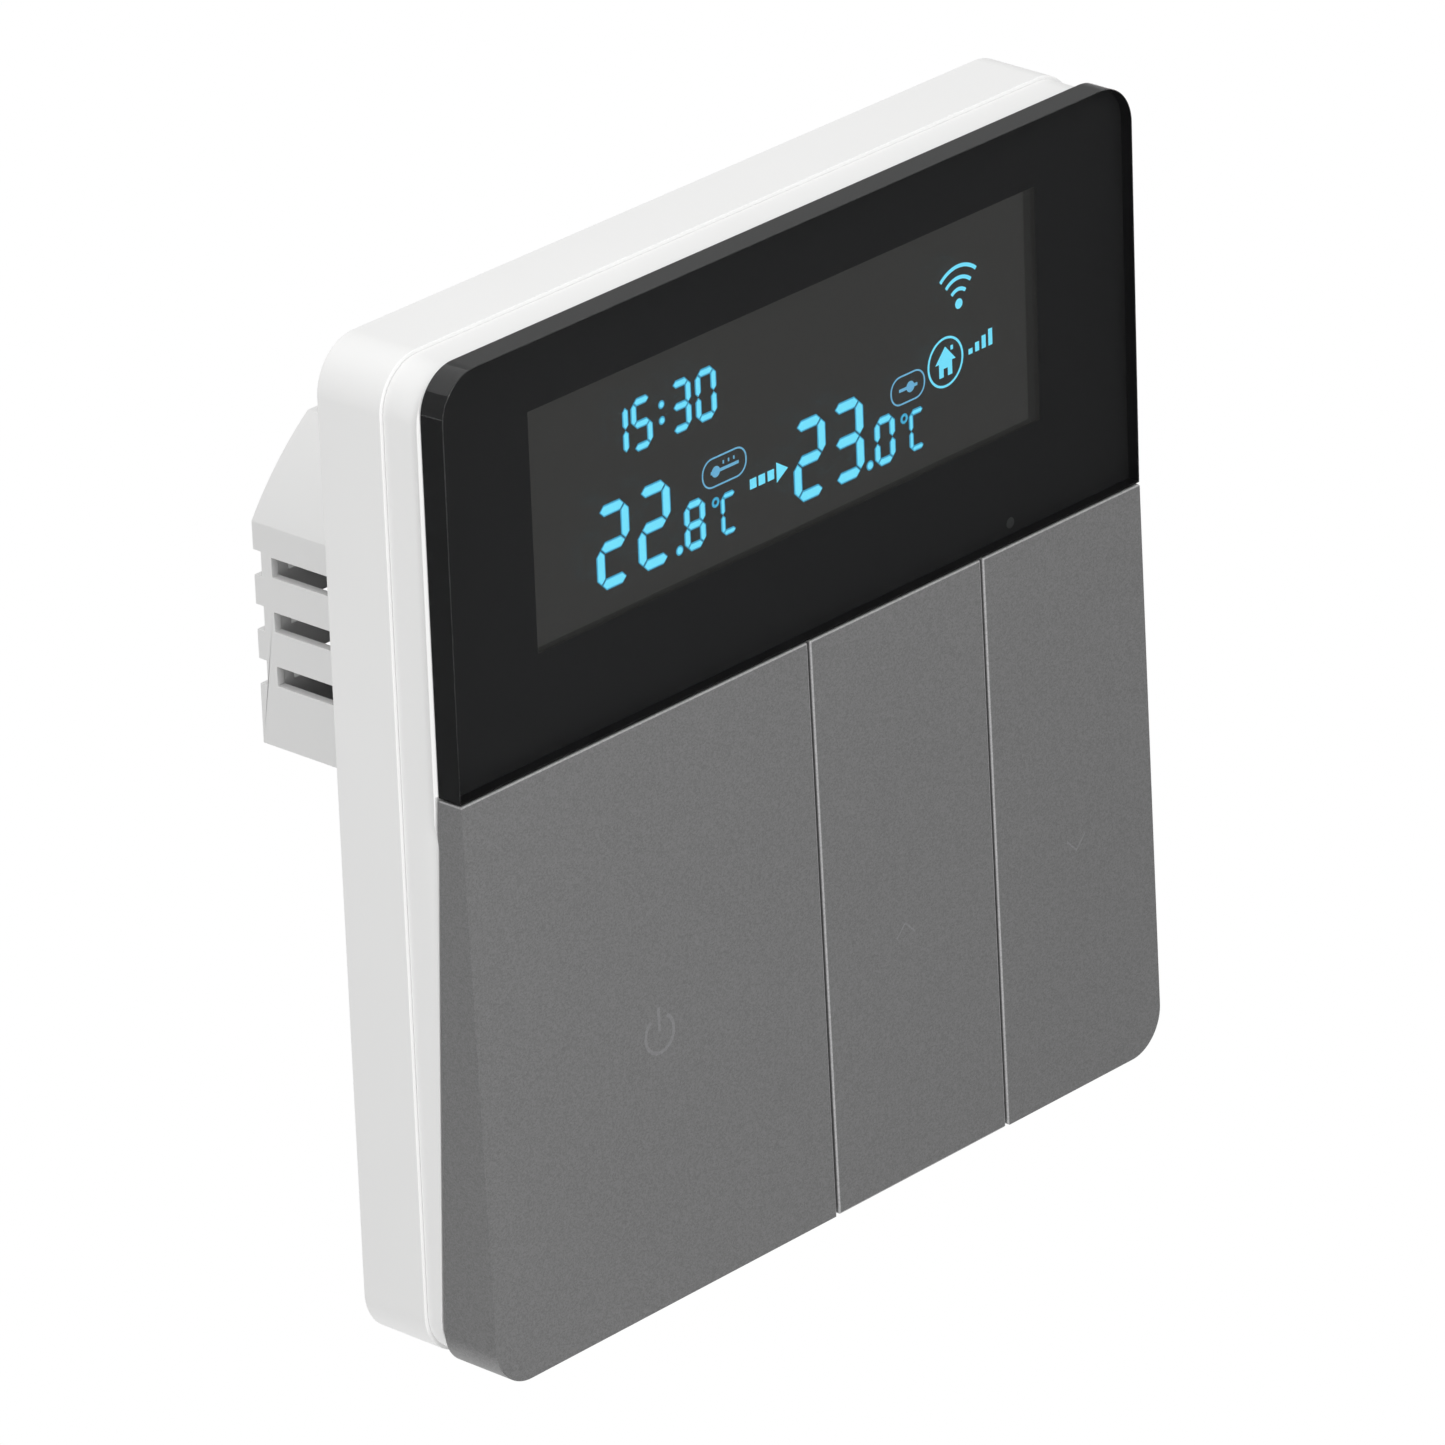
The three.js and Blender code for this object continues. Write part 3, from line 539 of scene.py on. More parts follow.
def rim_of(bm: Mesh, faces: list[bmesh.types.BMFace], stroke: float) -> list[bmesh.types.BMFace]:
    """Cuts a flat face down to a rim.

    Args:
        bm: Mesh to change.
        faces: The flat faces.
        stroke: Width of the rim, in millimetres.

    Returns:
        The faces of the rim.
    """
    rim = bmesh.ops.inset_individual(bm, faces=faces, thickness=stroke * MM, use_even_offset=True)["faces"]
    bmesh.ops.delete(bm, geom=faces, context="FACES")
    return rim


def arc_band(bm: Mesh, centre: Point2, r: float, width: float, span: Point2, y: float, depth: float) -> None:
    """Adds a stroke along an arc.

    Args:
        bm: Mesh to add to.
        centre: Centre of the arc, as (x, z).
        r: Radius at the middle of the stroke.
        width: Width of the stroke.
        span: First and last angle in degrees, from +X towards +Z.
        y: Y of its front face.
        depth: Thickness.
    """
    middle = Vector((centre[0], y, centre[1])) * MM
    ray = Vector((math.cos(math.radians(span[0])), 0.0, math.sin(math.radians(span[0]))))
    ends = [bm.verts.new(middle + ray * (r + side * width / 2) * MM) for side in (-1, 1)]
    edge = bm.edges.new(ends)
    turn = math.radians(span[1] - span[0])
    known = set(bm.faces)
    bmesh.ops.spin(
        bm, geom=[*ends, edge], cent=middle, axis=(0.0, -1.0, 0.0), dvec=(0.0, 0.0, 0.0), angle=turn, steps=16
    )
    thicken(bm, [f for f in bm.faces if f not in known], depth)


def slab(bm: Mesh, low: Triple, high: Triple, round_mm: float = 0.0) -> None:
    """Adds a block between two corners, with rounded edges if it is told to.

    Args:
        bm: Mesh to add to.
        low: Lowest corner, in millimetres.
        high: Highest corner.
        round_mm: Width of the rounding.
    """
    middle = (Vector(low) + Vector(high)) / 2
    size = Vector(high) - Vector(low)
    place = Matrix.Translation(middle * MM) @ Matrix.Diagonal((*(size * MM), 1.0))
    made = bmesh.ops.create_cube(bm, size=1.0, matrix=place)
    if round_mm:
        edges = list({e for v in made["verts"] for e in v.link_edges})
        bmesh.ops.bevel(
            bm, geom=edges, offset=round_mm * MM, segments=2, profile=0.5, affect="EDGES", material=-1
        )


# ----------------------------------------------------------------------------- pieces


@dataclass(frozen=True)
class Softening:
    """How a CAD node is turned into its visual piece.

    Args:
        surface: Finish and material slot.
        width_mm: Width of the edge rounding; 0 leaves the edges sharp.
        segments: Steps in the rounding.
        only_front: Whether only the edges round the front face are rounded.
    """

    surface: Surface
    width_mm: float = 0.12
    segments: int = 2
    only_front: bool = False


SOFTENINGS: dict[tuple[str, ...], Softening] = {
    ("rear_housing",): Softening(Surface.WHITE_PLASTIC, 0.07, 2),
    ("front_cover",): Softening(Surface.WHITE_PLASTIC, 0.12, 2),
    ("inner_cover",): Softening(Surface.WHITE_PLASTIC, 0.15, 2),
    ("key_",): Softening(Surface.KEY_PAINT, 0.17, 3),
    ("front_glass",): Softening(Surface.GLASS, 0.07, 2, only_front=True),
    ("glass_tape",): Softening(Surface.TAPE, 0.0),
    ("lcd_panel",): Softening(Surface.DISPLAY, 0.05, 1),
    ("backlight_guide", "status_led"): Softening(Surface.ACRYLIC, 0.08),
    ("display_board", "power_board"): Softening(Surface.BOARD, 0.05, 1),
    ("terminal_cage", "terminal_bar"): Softening(Surface.BRASS, 0.08),
    ("terminal_block",): Softening(Surface.NYLON, 0.12),
    ("relay",): Softening(Surface.RELAY, 0.35, 3),
    ("transformer_core",): Softening(Surface.FERRITE, 0.2),
    ("transformer_bobbin", "x_capacitor"): Softening(Surface.YELLOW_FILM, 0.3, 3),
    ("bulk_capacitor",): Softening(Surface.SLEEVE, 0.3, 3),
    ("varistor",): Softening(Surface.VARISTOR, 0.4, 3),
    ("fuse",): Softening(Surface.CERAMIC, 0.2),
    ("housing_screw", "board_screw", "terminal_screw"): Softening(Surface.STEEL, 0.1),
    ("radio_module", "backup_cell", "tact_body"): Softening(Surface.STEEL, 0.15),
}
PLAIN_SOFTENING = Softening(Surface.BLACK_PLASTIC, 0.12)


class PieceMaker:
    """Adds visual pieces to the frame's bodies."""

    def __init__(self, frame: dict, library: FinishLibrary) -> None:
        """Keeps the frame's nodes and the finishes."""
        self.nodes: dict[str, bpy.types.Object] = frame["nodes"]
        self.library = library

    def refine(self, node: str) -> bpy.types.Object:
        """Replaces a CAD node with its softened copy.

        Args:
            node: CAD node name.

        Returns:
            The visual piece.
        """
        found = (spec for prefixes, spec in SOFTENINGS.items() if node.startswith(prefixes))
        spec = next(found, PLAIN_SOFTENING)
        source = self.nodes[node]
        bm = self._clean_copy(source)
        if spec.width_mm:
            low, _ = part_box(node)
            front_y, foot_z = low[1] + AT_FACE_M, low[2] + AT_FACE_M

            def wanted(edge: bmesh.types.BMEdge) -> bool:
                """Whether the edge may be rounded on this piece."""
                at_front = all(v.co.y < front_y for v in edge.verts)
                at_foot = all(v.co.z < foot_z for v in edge.verts)
                return not spec.only_front or (at_front and not at_foot)

            round_edges(bm, spec.width_mm * MM, spec.segments, wanted)
        bmesh.ops.triangulate(bm, faces=[f for f in bm.faces if len(f.verts) > 4])
        piece = new_object(f"{node}_shell", bm, self.library.get(spec.surface.value))
        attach(piece, source["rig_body"])
        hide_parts(node)
        return piece

    @staticmethod
    def _clean_copy(source: bpy.types.Object) -> Mesh:
        """A merged copy of a CAD node's mesh."""
        bm = bmesh.new()
        bm.from_mesh(source.data)
        bmesh.ops.remove_doubles(bm, verts=bm.verts, dist=MERGE_CAD_M)
        return bm

    def add(self, name: str, bm: Mesh, finish: str, body: str) -> bpy.types.Object:
        """Adds a new piece that stands beside the CAD nodes.

        Args:
            name: Piece name.
            bm: Its mesh.
            finish: Key in FINISHES.
            body: CAD body it rides on.

        Returns:
            The object.
        """
        bmesh.ops.remove_doubles(bm, verts=bm.verts, dist=MERGE_NEW_M)
        bmesh.ops.recalc_face_normals(bm, faces=bm.faces)
        piece = new_object(name, bm, self.library.get(finish))
        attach(piece, body)
        LOG.info("added %s", name)
        return piece


# ----------------------------------------------------------------------------- display

SEGMENTS: dict[str, str] = {
    "0": "abcdef",
    "1": "bc",
    "2": "abged",
    "3": "abgcd",
    "4": "fgbc",
    "5": "afgcd",
    "6": "afgecd",
    "8": "abcdefg",
    "C": "afed",
}
SEGMENT_GAP = 0.12  # gap at each end of a segment, in strokes


@dataclass(frozen=True)
class Digit:
    """One seven-segment character.

    Args:
        char: Key in SEGMENTS.
        x: Left edge.
        z: Foot.
        w: Width.
        h: Height.
        t: Stroke.
    """

    char: str
    x: float
    z: float
    w: float
    h: float
    t: float

    def strokes(self, grow: float = 0.0) -> list[list[Point2]]:
        """The lit segments as outlines with pointed ends.

        Args:
            grow: How much wider each stroke is drawn on either side.

        Returns:
            One outline for each segment.
        """
        x0, x1, z0, z1 = self.x, self.x + self.w, self.z, self.z + self.h
        tip, gap = self.t / 2, self.t * SEGMENT_GAP - grow
        zm, half = (z0 + z1) / 2, tip + grow

        def across(middle: float) -> list[Point2]:
            """A level stroke about a height."""
            left, right = x0 + tip + gap, x1 - tip - gap
            low, high = middle - half, middle + half
            return [
                (left, middle),
                (left + half, low),
                (right - half, low),
                (right, middle),
                (right - half, high),
                (left + half, high),
            ]

        def upright(middle: float, foot: float, head: float) -> list[Point2]:
            """An upright stroke about an X."""
            low, high = foot + gap, head - gap
            left, right = middle - half, middle + half
            return [
                (middle, low),
                (right, low + half),
                (right, high - half),
                (middle, high),
                (left, high - half),
                (left, low + half),
            ]

        shapes: dict[str, Callable[[], list[Point2]]] = {
            "a": lambda: across(z1 - tip),
            "d": lambda: across(z0 + tip),
            "g": lambda: across(zm),
            "b": lambda: upright(x1 - tip, zm, z1 - tip),
            "c": lambda: upright(x1 - tip, z0 + tip, zm),
            "f": lambda: upright(x0 + tip, zm, z1 - tip),
            "e": lambda: upright(x0 + tip, z0 + tip, zm),
        }
        return [shapes[s]() for s in SEGMENTS[self.char]]


@dataclass(frozen=True)
class Reading:
    """A temperature on the display: two tall digits, a point, a low digit and the degree sign.

    Args:
        name: Piece name.
        chars: The two tall digits and the low one.
        x: Left edges of the four characters, the last being the unit.
        z: Foot of the tall digits.
        tall: Height of the tall digits.
        tall_size: Width and stroke of the tall digits.
        low_size: Width, height and stroke of the low digit.
        low_drop: How far the low digit's foot lies under the tall ones'.
        unit_size: Width, height and stroke of the unit.
        unit_drop: How far the unit's foot lies under the tall digits'.
        point_shift: Place of the decimal point from the low digit's left edge and the foot.
        degree_shift: Place of the degree sign from the unit's left edge and the foot.
    """

    name: str
    chars: str
    x: tuple[float, float, float, float]
    z: float
    tall: float
    tall_size: Point2 = (4.05, 0.95)
    low_size: Triple = (2.58, 4.42, 0.66)
    low_drop: float = 0.04
    unit_size: Triple = (1.98, 3.77, 0.46)
    unit_drop: float = 0.06
    point_shift: Point2 = (-0.69, 0.48)
    degree_shift: Point2 = (-0.64, 3.29)

    def digits(self) -> list[Digit]:
        """The characters of the reading."""
        wide, stroke = self.tall_size
        tall = [Digit(c, x, self.z, wide, self.tall, stroke) for c, x in zip(self.chars[:2], self.x)]
        low = Digit(self.chars[2], self.x[2], self.z - self.low_drop, *self.low_size)
        unit = Digit("C", self.x[3], self.z - self.unit_drop, *self.unit_size)
        return [*tall, low, unit]

    def point(self) -> Point2:
        """The centre of the decimal point."""
        return (self.x[2] + self.point_shift[0], self.z + self.point_shift[1])

    def degree(self) -> Point2:
        """The centre of the degree sign."""
        return (self.x[3] + self.degree_shift[0], self.z + self.degree_shift[1])


@dataclass
class DisplayArt:
    """Draws what the display shows, just in front of its cell.

    Args:
        maker: Adds the pieces.
    """

    maker: PieceMaker
    y: float = -11.24
    depth: float = 0.02
    core_grow: float = -0.09
    halo_grow: float = 0.05
    readings: tuple[Reading, ...] = (
        Reading("room_value", "228", (-24.08, -19.03, -13.36, -8.83), 20.23, 7.52),
        Reading("target_value", "230", (0.30, 5.10, 10.53, 14.96), 19.94, 7.33),
    )
    clock: tuple[tuple[str, float, float], ...] = (
        ("1", -21.16, 1.5),
        ("5", -19.28, 2.54),
        ("3", -14.49, 2.5),
        ("0", -11.41, 2.54),
    )
    clock_z: float = 31.18
    clock_h: float = 4.68
    clock_t: float = 0.63
    colon: Point2 = (-15.58, 33.65)
    colon_half: float = 0.71
    colon_r: float = 0.33
    point_r: float = 0.4
    degree_r: float = 0.42
    degree_stroke: float = 0.17
    house: Point2 = (19.76, 26.65)
    wireless: Point2 = (21.67, 31.40)
    pills: tuple[tuple[float, float, float, float], ...] = (
        (-11.04, -5.49, 24.90, 27.61),
        (12.67, 17.09, 24.56, 27.23),
    )

    def draw(self) -> None:
        """Builds every mark on the display."""
        self._numbers()
        self._arrow()
        self._wireless_mark()
        self._house_mark()
        self._bars()
        self._pill_marks()
        self._pill_outlines()
        self._cell_margin()

    def _plates(self, name: str, outlines: Iterable[Sequence[Point2]], finish: str) -> None:
        """Adds flat outlines as one piece."""
        bm = bmesh.new()
        for outline in outlines:
            plate(bm, outline, self.y, self.depth)
        self.maker.add(name, bm, finish, FRONT_PANEL)

    def _numbers(self) -> None:
        """The clock and the two temperatures, each a bright core on a deeper halo."""
        clock = [Digit(c, x, self.clock_z, w, self.clock_h, self.clock_t) for c, x, w in self.clock]
        x, z = self.colon
        colon = [(x, z + side * self.colon_half, self.colon_r) for side in (-1, 1)]
        self._characters("clock", clock, colon, [])
        for reading in self.readings:
            dots = [(*reading.point(), self.point_r)]
            rings = [(*reading.degree(), self.degree_r)]
            self._characters(reading.name, reading.digits(), dots, rings)

    def _characters(self, name: str, digits: list[Digit], dots: list[Triple], rings: list[Triple]) -> None:
        """Adds characters twice: a bright core, and a wider halo behind it.

        Args:
            name: Middle of the names of the two pieces.
            digits: The segmented characters.
            dots: Round points, as (x, z, radius).
            rings: Rings, as (x, z, outer radius).
        """
        behind = self.y + self.depth * 1.5
        layers = (
            ("core", "display_segment", self.core_grow, self.y),
            ("halo", "display_halo", self.halo_grow, behind),
        )
        for suffix, finish, grow, y in layers:
            bm = bmesh.new()
            for digit in digits:
                for outline in digit.strokes(grow):
                    plate(bm, outline, y, self.depth)
            for x, z, r in dots:
                disc(bm, x, z, r + grow, y, self.depth)
            for x, z, r in rings:
                disc(bm, x, z, r + grow, y, self.depth, bore=r - self.degree_stroke - grow)
            self.maker.add(f"display_{name}_{suffix}", bm, finish, FRONT_PANEL)

    def _arrow(self) -> None:
        """Three blocks and a head that point from the room's value to the target."""
        foot, head, block = 23.23, 24.15, 0.8
        blocks = [rectangle(x, x + block, foot, head) for x in (-5.2, -4.12, -2.99)]
        point = [(-1.87, 22.77), (-0.45, 23.69), (-1.87, 24.6)]
        self._plates("display_arrow", [*blocks, point], "display_segment")

    def _wireless_mark(self) -> None:
        """A dot under three arcs."""
        dot, stroke, span = 0.46, 0.34, (48, 132)
        bm = bmesh.new()
        disc(bm, *self.wireless, dot, self.y, self.depth)
        for r in (1.33, 2.37, 3.42):
            arc_band(bm, self.wireless, r, stroke, span, self.y, self.depth)
        self.maker.add("display_wireless", bm, "display_segment", FRONT_PANEL)

    def _house_mark(self) -> None:
        """A house in a ring: a roof with a chimney, and walls round an open door."""
        x, z = self.house
        ring, bore, eaves, ridge = 2.3, 2.09, 1.3, 1.42
        wall, door, foot, lintel, head = 0.83, 0.28, -1.3, -0.55, 0.02
        walls = [(-wall, foot), (-door, foot), (-door, lintel), (door, lintel)]
        walls += [(door, foot), (wall, foot), (wall, head), (-wall, head)]
        chimney = rectangle(0.7, 1.0, 0.9, 1.3)
        bm = bmesh.new()
        disc(bm, x, z, ring, self.y, self.depth, bore=bore)
        for shape in ([(-eaves, 0.0), (eaves, 0.0), (0.0, ridge)], chimney, walls):
            plate(bm, [(x + dx, z + dz) for dx, dz in shape], self.y, self.depth)
        self.maker.add("display_house", bm, "display_segment", FRONT_PANEL)

    def _bars(self) -> None:
        """A row of four rising bars."""
        left, step, width = 22.75, 0.86, 0.5
        foot, least, rise = 26.35, 0.5, 0.34
        bars = []
        for i in range(4):
            x = left + i * step
            bars.append(rectangle(x, x + width, foot, foot + least + rise * i))
        self._plates("display_bars", bars, "display_segment")

    def _pill_marks(self) -> None:
        """A thermometer and a slider, each a bar with a round bulb, and three ticks over the first."""
        start, end, half, bulb_r = 1.1, 1.0, 0.14, 0.5
        tick_start, tick_step, tick_rise, tick_w, tick_h = 2.6, 0.65, 0.42, 0.16, 0.3
        bm = bmesh.new()
        for (x0, x1, z0, z1), bulb in zip(self.pills, (0.18, 0.62)):
            middle, left, right = (z0 + z1) / 2, x0 + start, x1 - end
            plate(bm, rectangle(left, right, middle - half, middle + half), self.y, self.depth)
            disc(bm, left + (right - left) * bulb, middle, bulb_r, self.y, self.depth)
        x0, _, z0, z1 = self.pills[0]
        for i in range(3):
            x, z = x0 + tick_start + i * tick_step, (z0 + z1) / 2 + tick_rise
            plate(bm, rectangle(x, x + tick_w, z, z + tick_h), self.y, self.depth)
        self.maker.add("display_marks", bm, "display_outline", FRONT_PANEL)

    def _pill_outlines(self) -> None:
        """A rounded outline round each small mark."""
        stroke, round_share, steps = 0.15, 0.47, 8
        bm = bmesh.new()
        for x0, x1, z0, z1 in self.pills:
            known = set(bm.faces)
            face = flat_face(bm, rectangle(x0, x1, z0, z1), self.y)
            round_corners(bm, face.verts, (z1 - z0) * round_share, steps)
            whole = [f for f in bm.faces if f not in known]
            thicken(bm, rim_of(bm, whole, stroke), self.depth)
        self.maker.add("display_outlines", bm, "display_outline", FRONT_PANEL)

    def _cell_margin(self) -> None:
        """A strip with half the cell's painted glow, between the rest of the cell and the window's right and
        lower edges.
        """
        left, lit_right, right = -32.2, 30.25, 31.9
        foot, lit_foot, head = 17.3, 17.95, 39.4
        strips = [rectangle(lit_right, right, foot, head), rectangle(left, lit_right, foot, lit_foot)]
        self._plates("display_margin", strips, "display_margin")


@dataclass
class KeyLegends:
    """Faint marks on the key faces.

    Args:
        maker: Adds the pieces.
    """

    maker: PieceMaker
    thick: float = 0.02
    stroke: float = 0.34
    proud: float = 0.006
    power: Point2 = (-21.1, -20.6)
    power_r: float = 1.75
    power_span: Point2 = (125, 415)
    power_bar: Point2 = (0.2, 2.4)
    arrows: tuple[tuple[str, float, float, float], ...] = (
        ("up", 10.1, -22.3, 1.2),
        ("down", 32.7, -22.4, -1.2),
    )
    arrow_half: float = 1.2
    arrow_stroke_share: float = 0.7
    top_z: float = 8.0
    foot_z: float = -45.75
    front_y: float = -14.0
    bulge: float = 1.2

    def draw(self) -> None:
        """Builds a mark on each key: a power sign on the wide one and an arrow head on the others."""
        power = bmesh.new()
        arc_band(power, self.power, self.power_r, self.stroke, self.power_span, 0.0, self.thick)
        x, z = self.power
        half = self.stroke / 2
        foot, head = (z + rise for rise in self.power_bar)
        plate(power, rectangle(x - half, x + half, foot, head), 0.0, self.thick)
        self._mark("legend_mode", power, "mode_key")
        lift = self.stroke * self.arrow_stroke_share
        for name, x, z, rise in self.arrows:
            bm = bmesh.new()
            tip = (x, z + rise / 2)
            for side in (-1, 1):
                end = (x + side * self.arrow_half, z - rise / 2)
                plate(bm, [end, tip, (tip[0], tip[1] - lift), (end[0], end[1] - lift)], 0.0, self.thick)
            self._mark(f"legend_{name}", bm, f"{name}_key")

    def _mark(self, name: str, bm: Mesh, body: str) -> None:
        """Leans the mark onto the keys' sloping face, a hair proud of it, and adds it."""
        slope = self.bulge / (self.top_z - self.foot_z)
        for vert in bm.verts:
            face_y = self.front_y - slope * (self.top_z - vert.co.z / MM)
            vert.co.y += (face_y - self.proud) * MM
        self.maker.add(name, bm, "key_legend", body)


@dataclass
class GlassPrint:
    """The black print behind the glass, with its window and sensor dot.

    Args:
        maker: Adds the pieces.
    """

    maker: PieceMaker
    back_y: float = -11.5
    thick: float = 0.05
    half_w: float = 42.96
    foot: float = 8.24
    top: float = 45.71
    corner_r: float = 3.96
    window: tuple[float, float, float, float] = (-31.86, 31.42, 17.62, 39.12)
    dot: Point2 = (27.2, 9.35)
    dot_r: float = 0.5
    dot_thick: float = 0.015
    dot_proud: float = 0.02
    front_y: float = -14.0
    edge_gap: float = 0.12

    def _sheet(self, bm: Mesh, y: float) -> bmesh.types.BMFace:
        """Adds a flat face of the glass's outline, rounded at its two upper corners.

        Args:
            bm: Mesh to add to.
            y: Its Y, in millimetres.

        Returns:
            The face.
        """
        sheet = flat_face(bm, rectangle(-self.half_w, self.half_w, self.foot, self.top), y)
        middle = (self.foot + self.top) / 2 * MM
        round_corners(bm, [v for v in sheet.verts if v.co.z > middle], self.corner_r, 10)
        return next(iter(bm.faces))

    def draw(self) -> None:
        """Builds the printed frame, the painted edge and the dot."""
        y = self.back_y - self.thick
        bm = bmesh.new()
        self._sheet(bm, y)
        self._cut_window(bm)
        thicken(bm, list(bm.faces), self.thick)
        self.maker.add("glass_print", bm, "glass_print", FRONT_PANEL)

        bm = bmesh.new()
        sheet = self._sheet(bm, y)
        thicken(bm, rim_of(bm, [sheet], self.thick), self.front_y + self.edge_gap - y)
        self.maker.add("glass_edge_paint", bm, "glass_print", FRONT_PANEL)

        bm = bmesh.new()
        disc(bm, *self.dot, self.dot_r, y - self.dot_proud, self.dot_thick)
        self.maker.add("sensor_dot", bm, "print_dot", FRONT_PANEL)

    def _cut_window(self, bm: Mesh) -> None:
        """Cuts the display's window out of a flat sheet."""
        x0, x1, z0, z1 = self.window
        across, upward = (1, 0, 0), (0, 0, 1)
        for point, normal in (
            ((x0, 0, 0), across),
            ((x1, 0, 0), across),
            ((0, 0, z0), upward),
            ((0, 0, z1), upward),
        ):
            geom = [*bm.verts, *bm.edges, *bm.faces]
            bmesh.ops.bisect_plane(bm, geom=geom, plane_co=Vector(point) * MM, plane_no=normal)
        inside = []
        for face in bm.faces:
            centre = face.calc_center_median() / MM
            if x0 < centre.x < x1 and z0 < centre.z < z1:
                inside.append(face)
        bmesh.ops.delete(bm, geom=inside, context="FACES")


# ----------------------------------------------------------------------------- board details


@dataclass
class BoardParts:
    """The small parts that are soldered on the boards, and the marks moulded near the terminals.

    Args:
        maker: Adds the pieces.
    """

    maker: PieceMaker
    board_back: float = -7.2
    power_front: float = -3.6
    gap: float = 0.02
    chip_rows: tuple[tuple[float, float, int], ...] = (
        (28.0, -20.0, 5),
        (8.0, 30.0, 6),
        (8.0, 24.0, 6),
        (28.0, 34.0, 4),
        (-36.0, 30.0, 4),
        (-20.0, -15.0, 7),
    )

    def draw(self) -> None:
        """Builds the details."""
        self._controller_leads()
        self._radio_antenna()
        self._chip_parts()
        self._tact_joints()
        self._relay_joints()
        self._terminal_numbers()

    def _controller_leads(self) -> None:
        """Flat leads on all four sides of the microcontroller."""
        low, high = in_mm(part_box("microcontroller"))
        y0, y1 = self.board_back + self.gap, self.board_back + 0.2
        count, half, inside, outside = 11, 0.18, 0.1, 0.9
        bm = bmesh.new()
        for i in range(count):
            share = (i + 1) / (count + 1)
            x, z = low.x + share * (high.x - low.x), low.z + share * (high.z - low.z)
            for edge, side in ((low.x, -1), (high.x, 1)):
                start, end = sorted((edge - side * inside, edge + side * outside))
                slab(bm, (start, y0, z - half), (end, y1, z + half))
            for edge, side in ((low.z, -1), (high.z, 1)):
                start, end = sorted((edge - side * inside, edge + side * outside))
                slab(bm, (x - half, y0, start), (x + half, y1, end))
        self.maker.add("microcontroller_leads", bm, "solder", FRONT_PANEL)

    def _radio_antenna(self) -> None:
        """A meandering antenna on the free end of the radio module's board."""
        low, high = in_mm(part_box("radio_module"))
        y, thick, width, legs = self.board_back + 0.87, 0.04, 0.5, 6
        left, right = low.x + 1.4, high.x - 1.4
        foot, head = high.z - 5.6, high.z - 1.2
        pitch = (right - left) / legs
        bm = bmesh.new()
        for i in range(legs + 1):
            x = left + i * pitch
            plate(bm, rectangle(x, x + width, foot, head), y, thick)
            if i < legs:
                z = head - width if i % 2 else foot
                plate(bm, rectangle(x, x + pitch + width, z, z + width), y, thick)
        self.maker.add("radio_antenna", bm, "gold_plate", FRONT_PANEL)

    def _chip_parts(self) -> None:
        """Rows of chip resistors and capacitors on the back of the display board."""
        half_w, tall, skin, rounding = 0.42, 0.45, 0.02, 0.05
        y = self.board_back + self.gap
        bodies, ends = bmesh.new(), bmesh.new()
        for index, (left, z, count) in enumerate(self.chip_rows):
            pitch = 1.9 if index % 2 else 2.3
            for i in range(count):
                x = left + i * pitch
                half = 0.8 if i % 3 else 1.0
                bare = half * 0.6
                slab(bodies, (x - half_w, y, z - bare), (x + half_w, y + tall, z + bare), rounding)
                cap_w, cap_y = half_w + skin, y + tall + skin
                for side in (-1, 1):
                    start, end = sorted((z + side * bare, z + side * half))
                    slab(ends, (x - cap_w, y, start), (x + cap_w, cap_y, end), rounding)
        self.maker.add("chip_bodies", bodies, "chip_ceramic", FRONT_PANEL)
        self.maker.add("chip_ends", ends, "solder", FRONT_PANEL)

    def _tact_joints(self) -> None:
        """The solder joints of each tact switch, on the back of the board."""
        outside, inset = 0.2, 0.8
        bm = bmesh.new()
        for key in ("mode", "up", "down"):
            low, high = in_mm(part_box(f"tact_body_{key}"))
            for x in (low.x - outside, high.x + outside):
                for z in (low.z + inset, high.z - inset):
                    self._joint(bm, x, z, self.board_back)
        self.maker.add("tact_joints", bm, "solder", FRONT_PANEL)

    def _relay_joints(self) -> None:
        """The joints of the relay, on the front of the power board."""
        inset = 2.5
        bm = bmesh.new()
        low, high = in_mm(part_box("relay"))
        for x in (low.x + inset, (low.x + high.x) / 2, high.x - inset):
            for z in (low.z + inset, high.z - inset):
                self._joint(bm, x, z, self.power_front, -1)
        self.maker.add("power_joints", bm, "solder", REAR_MODULE)

    def _joint(self, bm: Mesh, x: float, z: float, y: float, side: int = 1) -> None:
        """Adds a little cone of solder round a pin that comes through a board.

        Args:
            bm: Mesh to add to.
            x: X of the pin, in millimetres.
            z: Z of the pin.
            y: Y of the board's face.
            side: 1 where the face looks along +Y, -1 where it looks along -Y.
        """
        lean = Matrix.Rotation(-side * math.pi / 2, 4, "X")
        solder, pin = (0.75, 0.28, 0.55), (0.26, 0.22, 0.95)
        for foot_r, tip_r, height in (solder, pin):
            place = Matrix.Translation(Vector((x, y + side * (height / 2 + self.gap), z)) * MM) @ lean
            bmesh.ops.create_cone(
                bm,
                cap_ends=True,
                segments=12,
                radius1=foot_r * MM,
                radius2=tip_r * MM,
                depth=height * MM,
                matrix=place,
            )

    def _terminal_numbers(self) -> None:
        """A raised number over each terminal's screw, turned to be read from behind."""
        width, height, stroke, lift, thick = 1.2, 2.1, 0.26, 1.05, 0.14
        _, block_high = in_mm(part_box("terminal_block"))
        bm = bmesh.new()
        for number in range(1, 7):
            low, high = in_mm(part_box(f"terminal_screw_{number}"))
            x = (low.x + high.x) / 2
            left = x - (0.9 if number == 1 else 0.6)
            digit = Digit(str(number), left, high.z + lift, width, height, stroke)
            for outline in digit.strokes():
                plate(bm, [(2 * x - px, pz) for px, pz in outline], block_high.y - self.gap, thick)
        self.maker.add("terminal_numbers", bm, "moulded_mark", REAR_MODULE)


# ----------------------------------------------------------------------------- studio


